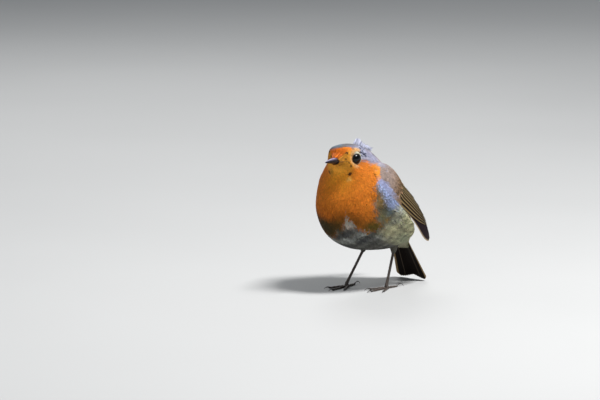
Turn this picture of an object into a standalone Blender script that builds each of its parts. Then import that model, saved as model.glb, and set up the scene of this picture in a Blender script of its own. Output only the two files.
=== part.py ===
"""European robin, a still life-size model standing on both feet.

The bird faces +X, its left side is +Y and it stands on z = 0. Sizes are in
millimetres, which MM turns into metres. The body is one smooth loft, parted by
thin cuts into head, neck and trunk. The wings lie on it, and the bill, tail and
thighs are trimmed to it. Neighbouring pieces keep a gap, so nothing overlaps.
"""

import bmesh
import bpy
import numpy as np
from mathutils import Vector
from mathutils.bvhtree import BVHTree

MM = 0.001
GAP = 0.3                      # clearance between neighbouring pieces
MIDDLE = (-1.04, 0.0)           # middle of the finished bird, seen from above

# Body sections from the bill root to the tail root. Each runs from a point on
# the back line to a point on the breast line; half is its half width, and
# level says how far down from the back the widest place lies (0 to 1).
BODY = (
    # name          back x, z     breast x, z   half  level square
    ("bill root",   32.0, 86.8,   32.2, 80.8,   3.9,  0.52, 2.1),
    ("forehead",    29.4, 91.4,   30.8, 77.6,   8.3,  0.54, 2.75),
    ("eye",         23.4, 92.2,   29.8, 74.6,   10.3, 0.60, 2.85),
    ("cheek",       14.5, 91.7,   29.6, 70.4,   12.2, 0.60, 2.45),
    ("nape",        4.5,  88.0,   31.4, 64.0,   17.6, 0.53, 2.1),
    ("shoulder",    -5.5, 80.0,   34.0, 56.0,   22.4, 0.49, 2.0),
    ("breast",      -14.5, 70.0,  34.2, 45.5,   24.6, 0.49, 2.0),
    ("belly",       -22.5, 59.0,  27.4, 33.8,   24.4, 0.49, 2.0),
    ("flank",       -29.0, 48.2,  13.4, 26.2,   22.6, 0.49, 2.0),
    ("vent",        -33.2, 39.4,  -4.5, 23.4,   17.8, 0.50, 2.0),
    ("rump",        -35.2, 32.0,  -18.5, 23.0,  11.2, 0.50, 2.0),
    ("tail root",   -36.4, 25.6,  -29.8, 22.0,  6.0,  0.50, 2.0),
)
AROUND = 32                    # points round each body ring
RINGS_PER_SECTION = 3
CUT_HEAD = 3.6                 # section numbers where the body is parted
CUT_NECK = 4.75
SECTION_STEP = 9.0             # about one section's length along the body

# The head looks a little to the bird's left.
HEAD_TURN = 9.0
HEAD_PIVOT_X = 8.0
TURN_ENDS = (3.0, 5.5)         # the turn fades out between these sections

EYE_PLACE = (22.9, 7.35, 84.3)  # before the head is turned
EYE_RADIUS = 3.5
ORBIT_DEPTH = 2.8              # hollow of the face round each eye
ORBIT_WIDTH = 4.8
ORBIT_AHEAD = 1.6              # the hollow is deepest this far ahead of the eye

# Tips and roots of the small raised feathers at the back of the crown.
CREST = (((16.0, 2.0, 90.0), (12.6, 3.0, 95.3)),
         ((14.4, 3.4, 89.4), (9.4, 4.8, 93.2)),
         ((14.8, 0.4, 90.0), (9.8, 0.6, 94.0)))
CREST_RADIUS = 1.6

BILL_TIP = (44.0, 83.8)
BILL_ROOT = (28.6, 82.9)
BILL_WIDTH = 6.2
BILL_RISE = 2.4                # culmen above the gape line at the root
BILL_DROP = 2.4                # lower edge under the gape line

# Folded wing: a bowed plate on the body's side, tapering to the feather tips.
WING_WRIST = (12.0, 18.5, 76.5)
WING_TIP = (-40.8, 17.4, 29.0)
WING_BULGE = 6.0               # how far the middle of its length stands out
WING_LEAN = 40.0               # tilt of its face up from level
WING_ABOVE = 12.6              # its width above and below the line from wrist to tip
WING_BELOW = 10.0
WING_THICK = 3.4
WING_EDGE = 0.6
WING_BOW = 21.0                # radius of its curve across the chord

TAIL_ROOT = (-29.5, 34.0)
TAIL_TIP = (-45.6, 1.0)
TAIL_WIDTH = (11.5, 25.0)
TAIL_THICK = (2.4, 1.0)
TAIL_NOTCH = 1.6

# Each leg: the foot's pad on the floor, where the bare shank leaves the thigh
# feathers, and where the thigh lies in the belly. The foot's toes point ahead,
# turned by heading.
LEGS = {
    "left": {"pad": (-6.0, 11.6), "shank": (-13.0, 10.8, 21.4),
             "thigh": (-9.5, 12.5, 37.0), "heading": 2.0},
    "right": {"pad": (5.8, -10.8), "shank": (-7.0, -9.2, 20.8),
              "thigh": (-5.5, -11.5, 37.0), "heading": 6.0},
}
SHANK_RADIUS = 0.75
PAD_HEIGHT = 2.4
THIGH_BEND = 5.0               # length over which the thigh runs on from the shank
# name: angle, root ahead, root to the bird's outer side, length, claw, claw arch
TOES = {
    "middle": (0.0, 1.75, 0.0, 13.0, 4.2, 0.7),
    "inner": (-24.0, 1.35, -1.6, 9.0, 3.8, 0.7),
    "outer": (26.0, 1.35, 1.6, 9.6, 3.8, 0.7),
    "hind": (176.0, -1.75, 0.0, 7.6, 6.2, 1.5),
}
TOE_RADIUS = (0.66, 0.5)
CLAW_RADIUS = (0.5, 0.12)


def material(name, colour, roughness):
    """A plain Principled material."""
    made = bpy.data.materials.new(name)
    made.use_nodes = True
    shader = made.node_tree.nodes["Principled BSDF"]
    shader.inputs["Base Color"].default_value = (*colour, 1.0)
    shader.inputs["Roughness"].default_value = roughness
    return made


def new_object(name, mesh, mat=None):
    """Link a mesh into the bird's collection, or a cutter into the other one."""
    made = bpy.data.objects.new(name, mesh)
    if mat:
        BIRD.objects.link(made)
        mesh.materials.append(mat)
    else:
        CUTTERS.objects.link(made)
        made.hide_render = True
        made.display_type = "WIRE"
    return made


def loft(name, rings):
    """Mesh through rings of equal length, each end closed by a fan of its ring."""
    rings = np.asarray(rings) - np.array([*MIDDLE, 0.0])
    count, around = rings.shape[:2]
    ends = np.stack([rings[0].mean(axis=0), rings[-1].mean(axis=0)])
    points = np.concatenate([rings.reshape(-1, 3), ends]) * MM
    first, last = count * around, count * around + 1
    faces = []
    for i in range(count - 1):
        for j in range(around):
            k = (j + 1) % around
            low, high = i * around, (i + 1) * around
            faces.append((low + j, low + k, high + k, high + j))
    for j in range(around):
        k = (j + 1) % around
        faces.append((first, k, j))
        faces.append((last, (count - 1) * around + j, (count - 1) * around + k))
    mesh = bpy.data.meshes.new(name)
    mesh.from_pydata(points.tolist(), [], faces)
    work = bmesh.new()
    work.from_mesh(mesh)
    bmesh.ops.recalc_face_normals(work, faces=work.faces)
    work.to_mesh(mesh)
    work.free()
    mesh.shade_smooth()
    return mesh


def blend_rows(rows, t):
    """Catmull-Rom curve through the rows of a table, at section number t."""
    rows = np.asarray(rows, dtype=float)
    last = len(rows) - 1
    i = int(min(max(np.floor(t), 0), last - 1))
    u = t - i
    before = rows[i - 1] if i > 0 else 2 * rows[0] - rows[1]
    after = rows[i + 2] if i + 2 <= last else 2 * rows[last] - rows[last - 1]
    a, b = rows[i], rows[i + 1]
    return 0.5 * (2 * a + (b - before) * u + (2 * before - 5 * a + 4 * b - after) * u**2
                  + (3 * a - before - 3 * b + after) * u**3)


def smooth_step(value, low, high):
    """0 below low, 1 above high, an even curve between."""
    u = np.clip((value - low) / (high - low), 0.0, 1.0)
    return u * u * (3 - 2 * u)


def turned(points, share=1.0):
    """Turn points about the neck's upright axis by a share of the head's turn."""
    angle = np.radians(HEAD_TURN * share)
    out = np.array(points, dtype=float)
    x = out[..., 0] - HEAD_PIVOT_X
    y = out[..., 1].copy()
    out[..., 0] = HEAD_PIVOT_X + x * np.cos(angle) - y * np.sin(angle)
    out[..., 1] = x * np.sin(angle) + y * np.cos(angle)
    return out


def body_ring(t, swell=0.0):
    """One ring of the body: half a squared oval up to the back, half an oval down to the
    breast. A square of 2 leaves the upper half an oval too."""
    back_x, back_z, front_x, front_z, half, level, square = blend_rows(
        [row[1:] for row in BODY], t)
    back = np.array([back_x, 0.0, back_z])
    front = np.array([front_x, 0.0, front_z])
    across = (back - front) / np.linalg.norm(back - front)
    back = back + across * swell
    front = front - across * swell
    middle = back + (front - back) * level
    angle = np.linspace(0.0, 2 * np.pi, AROUND, endpoint=False)
    rise, side = np.cos(angle), np.sin(angle)
    full = (np.abs(rise) ** square + np.abs(side) ** square) ** (-1 / square)
    full = np.where(rise > 0, full, 1.0)
    rise, side = (rise * full)[:, None], side * full
    ring = middle + np.where(rise > 0, rise * (back - middle), -rise * (front - middle))
    ring[:, 1] = (half + swell) * side
    hollow = np.array(EYE_PLACE) + (ORBIT_AHEAD, 0.0, 0.0)
    away = np.linalg.norm(np.abs(ring) - hollow, axis=1)
    ring[:, 1] -= np.sign(ring[:, 1]) * ORBIT_DEPTH * np.exp(-(away / ORBIT_WIDTH) ** 2)
    return turned(ring, 1.0 - smooth_step(t, *TURN_ENDS))


def body_part(name, start, end, swell=0.0):
    """The stretch of the body between two section numbers."""
    count = int(np.ceil((end - start) * RINGS_PER_SECTION)) + 1
    return loft(name, [body_ring(t, swell) for t in np.linspace(start, end, count)])


def cut(target, cutter, operation="DIFFERENCE"):
    """Take the cutter's shape out of the target, or join it on."""
    step = target.modifiers.new("cut_" + cutter.name, "BOOLEAN")
    step.operation = operation
    step.solver = "EXACT"
    step.object = cutter


def ball(name, centre, radius):
    """A round mesh at a place."""
    work = bmesh.new()
    bmesh.ops.create_uvsphere(work, u_segments=16, v_segments=9, radius=radius * MM)
    bmesh.ops.translate(work, verts=work.verts, vec=Vector(centre) * MM)
    mesh = bpy.data.meshes.new(name)
    work.to_mesh(mesh)
    work.free()
    mesh.shade_smooth()
    return mesh


def body(face_feathers, body_feathers):
    """Head, neck and trunk, with a thin gap at each cut. Returns the head."""
    half_gap = 0.5 * GAP / SECTION_STEP
    head = new_object("head", body_part("head", 0.0, CUT_HEAD - half_gap), face_feathers)
    neck = body_part("neck", CUT_HEAD + half_gap, CUT_NECK - half_gap)
    new_object("neck", neck, face_feathers)
    new_object("trunk", body_part("trunk", CUT_NECK + half_gap, len(BODY) - 1), body_feathers)
    return head


def eyes(head, mat):
    """Two round eyes, each in a socket cut into the head."""
    for side, sign in (("left", 1), ("right", -1)):
        x, y, z = turned((EYE_PLACE[0], sign * EYE_PLACE[1], EYE_PLACE[2]))
        spot = (x - MIDDLE[0], y - MIDDLE[1], z)
        new_object("eye_" + side, ball("eye", spot, EYE_RADIUS), mat)
        cut(head, new_object("socket_" + side, ball("socket", spot, EYE_RADIUS + GAP)))


def crest(head):
    """A few raised feathers at the back of the crown, joined to the head."""
    s = np.linspace(0, 1, 5)
    for number, (root, tip) in enumerate(CREST):
        line = np.array(root) + (np.array(tip) - np.array(root)) * s[:, None]
        tuft = loft("tuft", turned(rod(line, CREST_RADIUS * (1 - 0.8 * s), 8)))
        cut(head, new_object("crest_%d" % number, tuft), "UNION")


def mandible(height, lift):
    """Rings of one half of the bill, flat at the gape and tapered to the tip."""
    rings = []
    root = np.array([BILL_ROOT[0], 0.0, BILL_ROOT[1]])
    tip = np.array([BILL_TIP[0], 0.0, BILL_TIP[1]])
    angle = np.linspace(0, np.pi, 9)
    for s in np.linspace(0.0, 1.0, 11):
        size = (1 - s) ** 0.6 * (1 - 0.15 * s) + 0.05
        centre = root + (tip - root) * s
        centre[2] += lift + 1.3 * s * (1 - s)
        dome = np.stack([np.zeros(9), np.cos(angle) * 0.5 * BILL_WIDTH * size**1.2,
                         np.sin(angle) * height * size], axis=1)
        rings.append(turned(centre + dome))
    return rings


def bill(mat):
    """Upper and lower mandible, parted along the gape and trimmed to the face."""
    face = new_object("face_seat", body_part("face_seat", 0.0, 3.0, GAP))
    for name, height, lift in (("bill_upper", BILL_RISE, 0.5 * GAP),
                               ("bill_lower", -BILL_DROP, -0.5 * GAP)):
        cut(new_object(name, loft(name, mandible(height, lift)), mat), face)


def rest_on(points, clearance, seat):
    """Push points out along the seat's surface until each is its clearance away."""
    out = np.array(points)
    shift = np.array([*MIDDLE, 0.0])
    for k, (point, want) in enumerate(zip(points, clearance)):
        near, normal, _, _ = seat.find_nearest(Vector((point - shift) * MM))
        near, normal = np.array(near) / MM + shift, np.array(normal)
        if (point - near) @ normal < want:
            out[k] = near + normal * want
    return out


def wing_rings(seat):
    """Rings of the left folded wing, a bowed lens across the chord."""
    wrist, tip = np.array(WING_WRIST), np.array(WING_TIP)
    along = (tip - wrist) / np.linalg.norm(tip - wrist)
    lean = np.radians(WING_LEAN)
    outward = np.array([0.0, np.cos(lean), np.sin(lean)])
    outward -= along * (outward @ along)
    outward /= np.linalg.norm(outward)
    up = np.cross(outward, along)
    angle = np.linspace(0, 2 * np.pi, 20, endpoint=False)
    outer = np.sin(angle) >= -1e-9
    rings = []
    for u in np.linspace(0.0, 1.0, 20):
        s = 0.5 - 0.5 * np.cos(np.pi * u)
        opening = np.clip(s / 0.2, 0, 1)
        front = np.sqrt(1 - 0.93 * (1 - opening) ** 2)
        slow = np.sqrt(1 - 0.93 * (1 - np.clip(s / 0.42, 0, 1)) ** 2)
        above = WING_ABOVE * slow * (1 - 0.9 * smooth_step(s, 0.3, 1.05))
        below = WING_BELOW * front * np.sqrt(1 - 0.96 * np.clip((s - 0.78) / 0.22, 0, 1) ** 2)
        thick = WING_THICK * (0.3 + 0.7 * opening) * (1 - 0.72 * smooth_step(s, 0.2, 1.0))
        middle = wrist + (tip - wrist) * s + outward * WING_BULGE * np.sin(np.pi * s) ** 0.8
        q = 0.5 * (above - below) + 0.5 * (above + below) * np.cos(angle)
        lens = WING_EDGE + (thick - WING_EDGE) * np.abs(np.sin(angle)) ** 0.7
        deep = -WING_BOW * (1 - np.cos(q / WING_BOW)) - np.where(outer, 0.0, lens)
        ring = middle + up * q[:, None] + outward * deep[:, None]
        rings.append(rest_on(ring, GAP + 0.15 + np.where(outer, lens, 0.0), seat))
    return rings


def wings(mat):
    """Both folded wings, the right one the left one's mirror image."""
    mesh = body_part("wing_seat", 2.5, len(BODY) - 1)
    work = bmesh.new()
    work.from_mesh(mesh)
    seat = BVHTree.FromBMesh(work)
    work.free()
    for side, sign in (("left", 1), ("right", -1)):
        rings = np.array(wing_rings(seat))
        new_object("wing_" + side, loft("wing_" + side, rings * (1, sign, 1)), mat)


def tail(mat, seat):
    """The closed tail: a flat fan with a shallow notch, a little arched."""
    root = np.array([TAIL_ROOT[0], 0.0, TAIL_ROOT[1]])
    tip = np.array([TAIL_TIP[0], 0.0, TAIL_TIP[1]])
    length = np.linalg.norm(tip - root)
    along = (tip - root) / length
    up = np.cross(along, (0.0, 1.0, 0.0))
    up *= np.sign(up[2])
    side = np.linspace(-1, 1, 13)
    short = TAIL_NOTCH * (np.exp(-(side / 0.35) ** 2) + 1.2 * np.abs(side) ** 7)
    rings = []
    for s in np.linspace(0.0, 1.0, 9):
        width = TAIL_WIDTH[0] + (TAIL_WIDTH[1] - TAIL_WIDTH[0]) * s
        thick = TAIL_THICK[0] + (TAIL_THICK[1] - TAIL_THICK[0]) * s
        line = root + along * (length * s - short * s**3)[:, None] - up * (1.2 * side**2)[:, None]
        line[:, 1] = 0.5 * width * side
        half = up * (0.5 * thick * (1 - 0.35 * side**2))[:, None]
        rings.append(np.concatenate([line + half, (line - half)[::-1]]))
    cut(new_object("tail", loft("tail", rings), mat), seat)


def rod(points, radii, sides=10):
    """Rings of a round limb along a bent line, with a radius for each point."""
    points = np.asarray(points, dtype=float)
    path = np.gradient(points, axis=0)
    path /= np.linalg.norm(path, axis=1)[:, None]
    angle = np.linspace(0, 2 * np.pi, sides, endpoint=False)
    rings = []
    for point, forward, radius in zip(points, path, np.broadcast_to(radii, len(points))):
        first = np.cross(forward, (0.0, 0.0, 1.0) if abs(forward[2]) < 0.8 else (1.0, 0.0, 0.0))
        first /= np.linalg.norm(first)
        second = np.cross(forward, first)
        rings.append(point + radius * (np.cos(angle)[:, None] * first
                                       + np.sin(angle)[:, None] * second))
    return np.array(rings)


def thigh(side, leg, mat, seat):
    """Cone of feathers round the upper leg, in line with the shank at its foot."""
    low, high = np.array(leg["shank"]), np.array(leg["thigh"])
    below = low - np.array([*leg["pad"], PAD_HEIGHT])
    bend = low + below / np.linalg.norm(below) * THIGH_BEND
    s = np.linspace(0, 1, 9)
    line = (np.outer((1 - s) ** 2, low) + np.outer(2 * s * (1 - s), bend) + np.outer(s**2, high))
    cut(new_object("thigh_" + side, loft("thigh", rod(line, 1.2 + 4.8 * s, 14)), mat), seat)


def shank(side, leg, mat):
    """Bare shank, widening at the bottom into the pad that the toes grow from."""
    pad = np.array([*leg["pad"], 0.0])
    top = np.array(leg["shank"])
    ankle = pad + (0.0, 0.0, PAD_HEIGHT)
    along = (top - ankle) / np.linalg.norm(top - ankle)
    top = top - along * GAP
    s = np.linspace(0, 1, 8)
    line = top + (ankle - top) * s[:, None]
    radii = SHANK_RADIUS * (1 + 0.35 * (2 * s - 1) ** 6)
    rings = list(rod(line, radii, 12)[:-1])
    angle = np.linspace(0, 2 * np.pi, 12, endpoint=False)
    start = np.argmin(np.linalg.norm(rings[-1] - rings[-1].mean(axis=0) - (1, 0, 0), axis=1))
    step = np.cross(rings[-1][(start + 1) % 12] - rings[-1][start], (1, 0, 0))[2]
    turn = -1 if step > 0 else 1
    spin = turn * (angle - angle[start])
    for height, ahead, aside in ((2.4, 0.95, 1.0), (1.6, 1.2, 1.55), (0.8, 1.3, 1.9), (0.0, 1.0, 1.6)):
        oval = np.stack([ahead * np.cos(spin), aside * np.sin(spin), np.full(12, height)], axis=1)
        rings.append(pad + oval)
    new_object("shank_" + side, loft("shank", rings), mat)


def toe(side, leg, name, skin, horn):
    """One toe lying on the floor, and its claw."""
    angle, ahead, outer, length, claw, arch = TOES[name]
    sign = 1 if side == "left" else -1
    heading = np.radians(leg["heading"])
    aim = heading + np.radians(angle) * sign
    face = np.array([np.cos(heading), np.sin(heading), 0.0])
    flank = np.array([-face[1], face[0], 0.0]) * sign
    line = np.array([np.cos(aim), np.sin(aim), 0.0])
    root = np.array([*leg["pad"], 0.0]) + face * ahead + flank * outer
    s = np.linspace(0, 1, 9)
    radii = TOE_RADIUS[0] + (TOE_RADIUS[1] - TOE_RADIUS[0]) * s
    radii = radii * (1 + 0.1 * np.cos(s * 6 * np.pi))
    height = 0.85 * radii
    rings = rod(root + line * (length * s)[:, None] + np.outer(height, (0, 0, 1)), radii, 8)
    rings[..., 2] = np.maximum(rings[..., 2], 0.0)
    new_object("toe_%s_%s" % (name, side), loft("toe", rings), skin)
    s = np.linspace(0, 1, 8)
    radii = CLAW_RADIUS[0] + (CLAW_RADIUS[1] - CLAW_RADIUS[0]) * s**1.2
    rise = 0.55 + 4 * arch * s * (1 - s) - 0.4 * s
    path = root + line * (length + GAP + claw * s)[:, None] + np.outer(rise, (0, 0, 1))
    new_object("claw_%s_%s" % (name, side), loft("claw", rod(path, radii, 8)), horn)


def legs(feathers, skin, horn, seat):
    """Thigh, shank, four toes and four claws on each side."""
    for side, leg in LEGS.items():
        thigh(side, leg, feathers, seat)
        shank(side, leg, skin)
        for name in TOES:
            toe(side, leg, name, skin, horn)


for old in list(bpy.data.objects):
    bpy.data.objects.remove(old, do_unlink=True)
BIRD = bpy.data.collections.new("robin")
CUTTERS = bpy.data.collections.new("robin_cutters")
for group in (BIRD, CUTTERS):
    bpy.context.scene.collection.children.link(group)

orange = material("feathers_orange", (0.60, 0.20, 0.04), 0.8)
brown = material("feathers_brown", (0.20, 0.14, 0.09), 0.8)
pale = material("feathers_pale", (0.55, 0.50, 0.42), 0.8)
dark = material("feathers_dark", (0.08, 0.05, 0.04), 0.7)
leg_skin = material("leg_skin", (0.08, 0.05, 0.04), 0.5)
black_horn = material("black_horn", (0.04, 0.035, 0.035), 0.4)
eye_black = material("eye_black", (0.01, 0.01, 0.01), 0.08)

head_piece = body(orange, pale)
crest(head_piece)
eyes(head_piece, eye_black)
bill(black_horn)
wings(brown)
trunk_seat = new_object("trunk_seat", body_part("trunk_seat", 4.0, len(BODY) - 1, GAP))
tail(dark, trunk_seat)
legs(pale, leg_skin, black_horn, trunk_seat)
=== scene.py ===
import bmesh
import bpy
import numpy as np
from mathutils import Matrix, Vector
from mathutils.bvhtree import BVHTree
from mathutils.kdtree import KDTree


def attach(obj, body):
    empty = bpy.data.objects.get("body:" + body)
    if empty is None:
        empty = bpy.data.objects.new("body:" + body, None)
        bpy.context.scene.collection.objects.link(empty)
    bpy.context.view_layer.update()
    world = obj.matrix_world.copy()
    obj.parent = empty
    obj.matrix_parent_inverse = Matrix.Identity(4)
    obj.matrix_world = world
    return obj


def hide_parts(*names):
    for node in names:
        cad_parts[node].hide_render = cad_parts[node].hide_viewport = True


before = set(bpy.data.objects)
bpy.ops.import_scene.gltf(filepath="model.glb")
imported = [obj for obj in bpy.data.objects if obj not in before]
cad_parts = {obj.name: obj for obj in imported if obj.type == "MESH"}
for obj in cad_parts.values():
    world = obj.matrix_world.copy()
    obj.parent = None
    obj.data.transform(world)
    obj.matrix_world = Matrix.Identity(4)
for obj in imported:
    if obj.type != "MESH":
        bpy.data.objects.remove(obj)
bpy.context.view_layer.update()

# Skin. A museum bird's own skin, drawn tight over the carved body, from the bill's root to
# the tail and down both thighs, in one piece. Lengths here are millimetres; x runs to the
# bill, y to the bird's left. Everything is measured from a line AHEAD behind the frame's.
AHEAD, MM = 1.04, 0.001
SECTIONS = np.array((       # back x, z, breast x, z, half width, widest level, squareness
    (32.0, 86.8, 32.2, 80.8, 3.9, 0.52, 2.1),        # 0 bill root
    (29.4, 91.4, 30.8, 77.6, 8.3, 0.54, 2.75),       # 1 forehead
    (23.4, 92.2, 29.8, 74.6, 10.3, 0.60, 2.85),      # 2 eye
    (14.5, 91.7, 29.6, 70.4, 12.2, 0.60, 2.45),      # 3 cheek
    (4.5, 88.0, 31.4, 64.0, 17.6, 0.53, 2.1),        # 4 nape
    (-5.5, 80.0, 34.0, 56.0, 22.4, 0.49, 2.0),       # 5 shoulder
    (-14.5, 70.0, 34.2, 45.5, 24.6, 0.49, 2.0),      # 6 breast
    (-22.5, 59.0, 27.4, 33.8, 24.4, 0.49, 2.0),      # 7 belly
    (-29.0, 48.2, 13.4, 26.2, 22.6, 0.49, 2.0),      # 8 flank
    (-33.2, 39.4, -4.5, 23.4, 17.8, 0.50, 2.0),      # 9 vent
    (-35.2, 32.0, -18.5, 23.0, 11.2, 0.50, 2.0),     # 10 rump
    (-36.4, 25.6, -29.8, 22.0, 6.0, 0.50, 2.0),      # 11 tail root
    (-38.3, 20.6, -34.7, 19.0, 6.6, 0.50, 2.0),      # 12 sleeve of coverts over the tail
    (-40.7, 14.6, -38.1, 13.4, 7.4, 0.50, 2.0)))     # 13 the sleeve's end
SKIN_END = 11.0
SKIN_DEPTH = ((0, 1, 2.4, 3.6, 5, 9.5, 11, 13), (0.5, 0.9, 1.2, 2.0, 2.9, 3.0, 1.8, 0.8))
HEAD_TURN, HEAD_PIVOT, TURN_ENDS = 9.0, 8.0, (3.0, 5.5)
EYE = np.array((22.9, 7.35, 84.3))
ORBIT_DEPTH, ORBIT_WIDTH, ORBIT_AHEAD = 2.8, 4.8, 1.6
LEGS = {"left": {"pad": (-6.0, 11.6), "shank": (-13.0, 10.8, 21.4),
                 "thigh": (-9.5, 12.5, 37.0), "heading": 2.0},
        "right": {"pad": (5.8, -10.8), "shank": (-7.0, -9.2, 20.8),
                  "thigh": (-5.5, -11.5, 37.0), "heading": 6.0}}
PAD_HEIGHT, THIGH_BEND, THIGH_RADIUS, THIGH_SPREAD = 2.4, 5.0, 1.15, 4.85


def smooth_step(value, low, high):
    """0 below low, 1 above high, and u * u * (3 - 2 u) between."""
    u = np.clip((value - low) / (high - low), 0.0, 1.0)
    return u * u * (3 - 2 * u)


def unit(vectors):
    """Vectors divided by their length."""
    return vectors / np.maximum(np.linalg.norm(vectors, axis=-1, keepdims=True), 1e-9)


def together(*values):
    """Numbers and arrays, all stretched to one shape."""
    return np.broadcast_arrays(*(np.asarray(value, dtype=float) for value in values))


def circle(count):
    """Angles in even steps, once round."""
    return np.linspace(0, 2 * np.pi, count, endpoint=False)


def turned(points, share=1.0):
    """Points turned about the neck's upright axis by a share of the head's turn."""
    angle = np.radians(HEAD_TURN) * share
    x, y = points[..., 0] - HEAD_PIVOT, points[..., 1]
    return np.stack([HEAD_PIVOT + x * np.cos(angle) - y * np.sin(angle),
                     x * np.sin(angle) + y * np.cos(angle), points[..., 2]], axis=-1)


def body_surface(t, a, depth=0.0):
    """Point at section number t, angle a from the back line and a depth under the coat.
    A Catmull-Rom curve through the sections gives back, breast and half width at t. The
    ring is half a squared oval from the middle up to the back and half an oval down to the
    breast. A bell curve hollows the orbits, and the head's rings turn with the head."""
    t, a, depth = together(t, a, depth)
    rows = np.vstack([2 * SECTIONS[0] - SECTIONS[1], SECTIONS, 2 * SECTIONS[-1] - SECTIONS[-2]])
    i = np.clip(np.floor(t), 0, len(SECTIONS) - 2).astype(int)
    u = (t - i)[..., None]
    p, q, r, s = rows[i], rows[i + 1], rows[i + 2], rows[i + 3]
    row = 0.5 * (2 * q + (r - p) * u + (2 * p - 5 * q + 4 * r - s) * u**2
                 + (3 * q - p - 3 * r + s) * u**3)
    zero = np.zeros_like(t)
    back = np.stack([row[..., 0], zero, row[..., 1]], axis=-1)
    front = np.stack([row[..., 2], zero, row[..., 3]], axis=-1)
    across = unit(back - front) * depth[..., None]
    back, front = back - across, front + across
    middle = back + (front - back) * row[..., 5, None]
    rise, side, square = np.cos(a), np.sin(a), row[..., 6]
    full = (np.abs(rise) ** square + np.abs(side) ** square) ** (-1 / square)
    full = np.where(rise > 0, full, 1.0)
    rise = (rise * full)[..., None]
    out = middle + np.where(rise > 0, rise * (back - middle), -rise * (front - middle))
    out[..., 1] = (row[..., 4] - depth) * side * full
    away = np.linalg.norm(np.abs(out) - EYE - (ORBIT_AHEAD, 0, 0), axis=-1)
    out[..., 1] -= np.sign(out[..., 1]) * ORBIT_DEPTH * np.exp(-(away / ORBIT_WIDTH) ** 2)
    return turned(out, 1.0 - smooth_step(t, *TURN_ENDS))


def coat_depth(t):
    """How far the skin lies under the tips of the coat: thin on the face, 3 mm behind."""
    return np.interp(t, *SKIN_DEPTH)


def thigh_surface(leg):
    """Surface of one feathered thigh: w from 0 in the belly to 1 at the bare shank. Its
    line is a quadratic curve that leaves the belly and ends in line with the shank."""
    low, high = np.array(leg["shank"]), np.array(leg["thigh"])
    bend = low + unit(low - np.array((*leg["pad"], PAD_HEIGHT))) * THIGH_BEND

    def surface(w, a, depth=0.0):
        """Ring of radius THIGH_RADIUS + THIGH_SPREAD s about the line, s = 1 - w."""
        w, a, depth = together(w, a, depth)
        s = (1 - w)[..., None]
        centre = (1 - s) ** 2 * low + 2 * s * (1 - s) * bend + s**2 * high
        along = unit(2 * (1 - s) * (low - bend) + 2 * s * (bend - high))
        first = unit(np.cross(along, (1.0, 0.0, 0.0)))
        second = np.cross(along, first)
        radius = (THIGH_RADIUS + THIGH_SPREAD * np.clip(s, 0, 1)) - depth[..., None]
        return centre + radius * (np.cos(a)[..., None] * first + np.sin(a)[..., None] * second)
    return surface


# Colours of the plumage. Edges are pairs of section numbers and degrees from the back.
NAPE_BAND = ((1, 2, 3, 4, 5), (20, 30, 50, 54, 60))
BLUE_EDGE = ((4.6, 5.15, 5.7, 6.2, 6.45, 6.6), (92, 96, 94.5, 92.5, 89, 84))
BIB_EDGE = ((0, 0.85, 0.92, 1.41, 1.97, 2.48, 2.86, 3.04, 3.10, 3.8, 4.1, 4.36, 4.56, 4.62,
             4.7, 4.77, 5.03, 5.27, 5.56, 5.82, 6.07, 6.3, 6.52, 7.0),
            (-20, -12, 8, 25, 38, 45, 52, 58, 70, 73, 64, 61, 66, 79,
             91, 97, 101, 102, 104, 105.5, 107.5, 110, 113.5, 112))
BIB_HEM = ((100, 105, 111, 123, 131, 137, 141, 144, 147, 150, 153, 156, 162, 169, 175, 180),
           (6.7, 6.86, 7.0, 7.0, 6.83, 6.6, 6.5, 6.3, 6.0, 5.66, 5.8, 6.15, 6.4, 6.38, 6.33,
            6.33))              # degrees from the back first, then the section
FAR_HEM = 6.85
FACE_MARKS = (              # section, degrees, half widths in both, strength
    (0.86, 54.5, 0.17, 6, 1), (1.15, 101, 0.16, 5, 1), (1.69, 110.5, 0.17, 5, 1),
    (2.43, 134, 0.26, 7.5, 1), (0.62, 88, 0.14, 5, 0.8))


def from_back(a):
    """Degrees from the line of the back, 0 to 180 on either side."""
    return np.abs((np.degrees(a) + 180.0) % 360.0 - 180.0)


def lay(out, *layers):
    """Colours laid one over another, each as far as its mask, 0 to 1, lets it."""
    for colour, mask in layers:
        out = out + (np.array(colour) - out) * np.clip(mask, 0, 1)[..., None]
    return out


def spots_on(t, side):
    """A function that gives a soft spot about a place, by the bell curve."""
    def spot(at_t, at_side, wide_t, wide_side):
        """1 at the place, falling as exp of minus the squared distance in half widths."""
        return np.exp(-((t - at_t) / wide_t) ** 2 - ((side - at_side) / wide_side) ** 2)
    return spot


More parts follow.
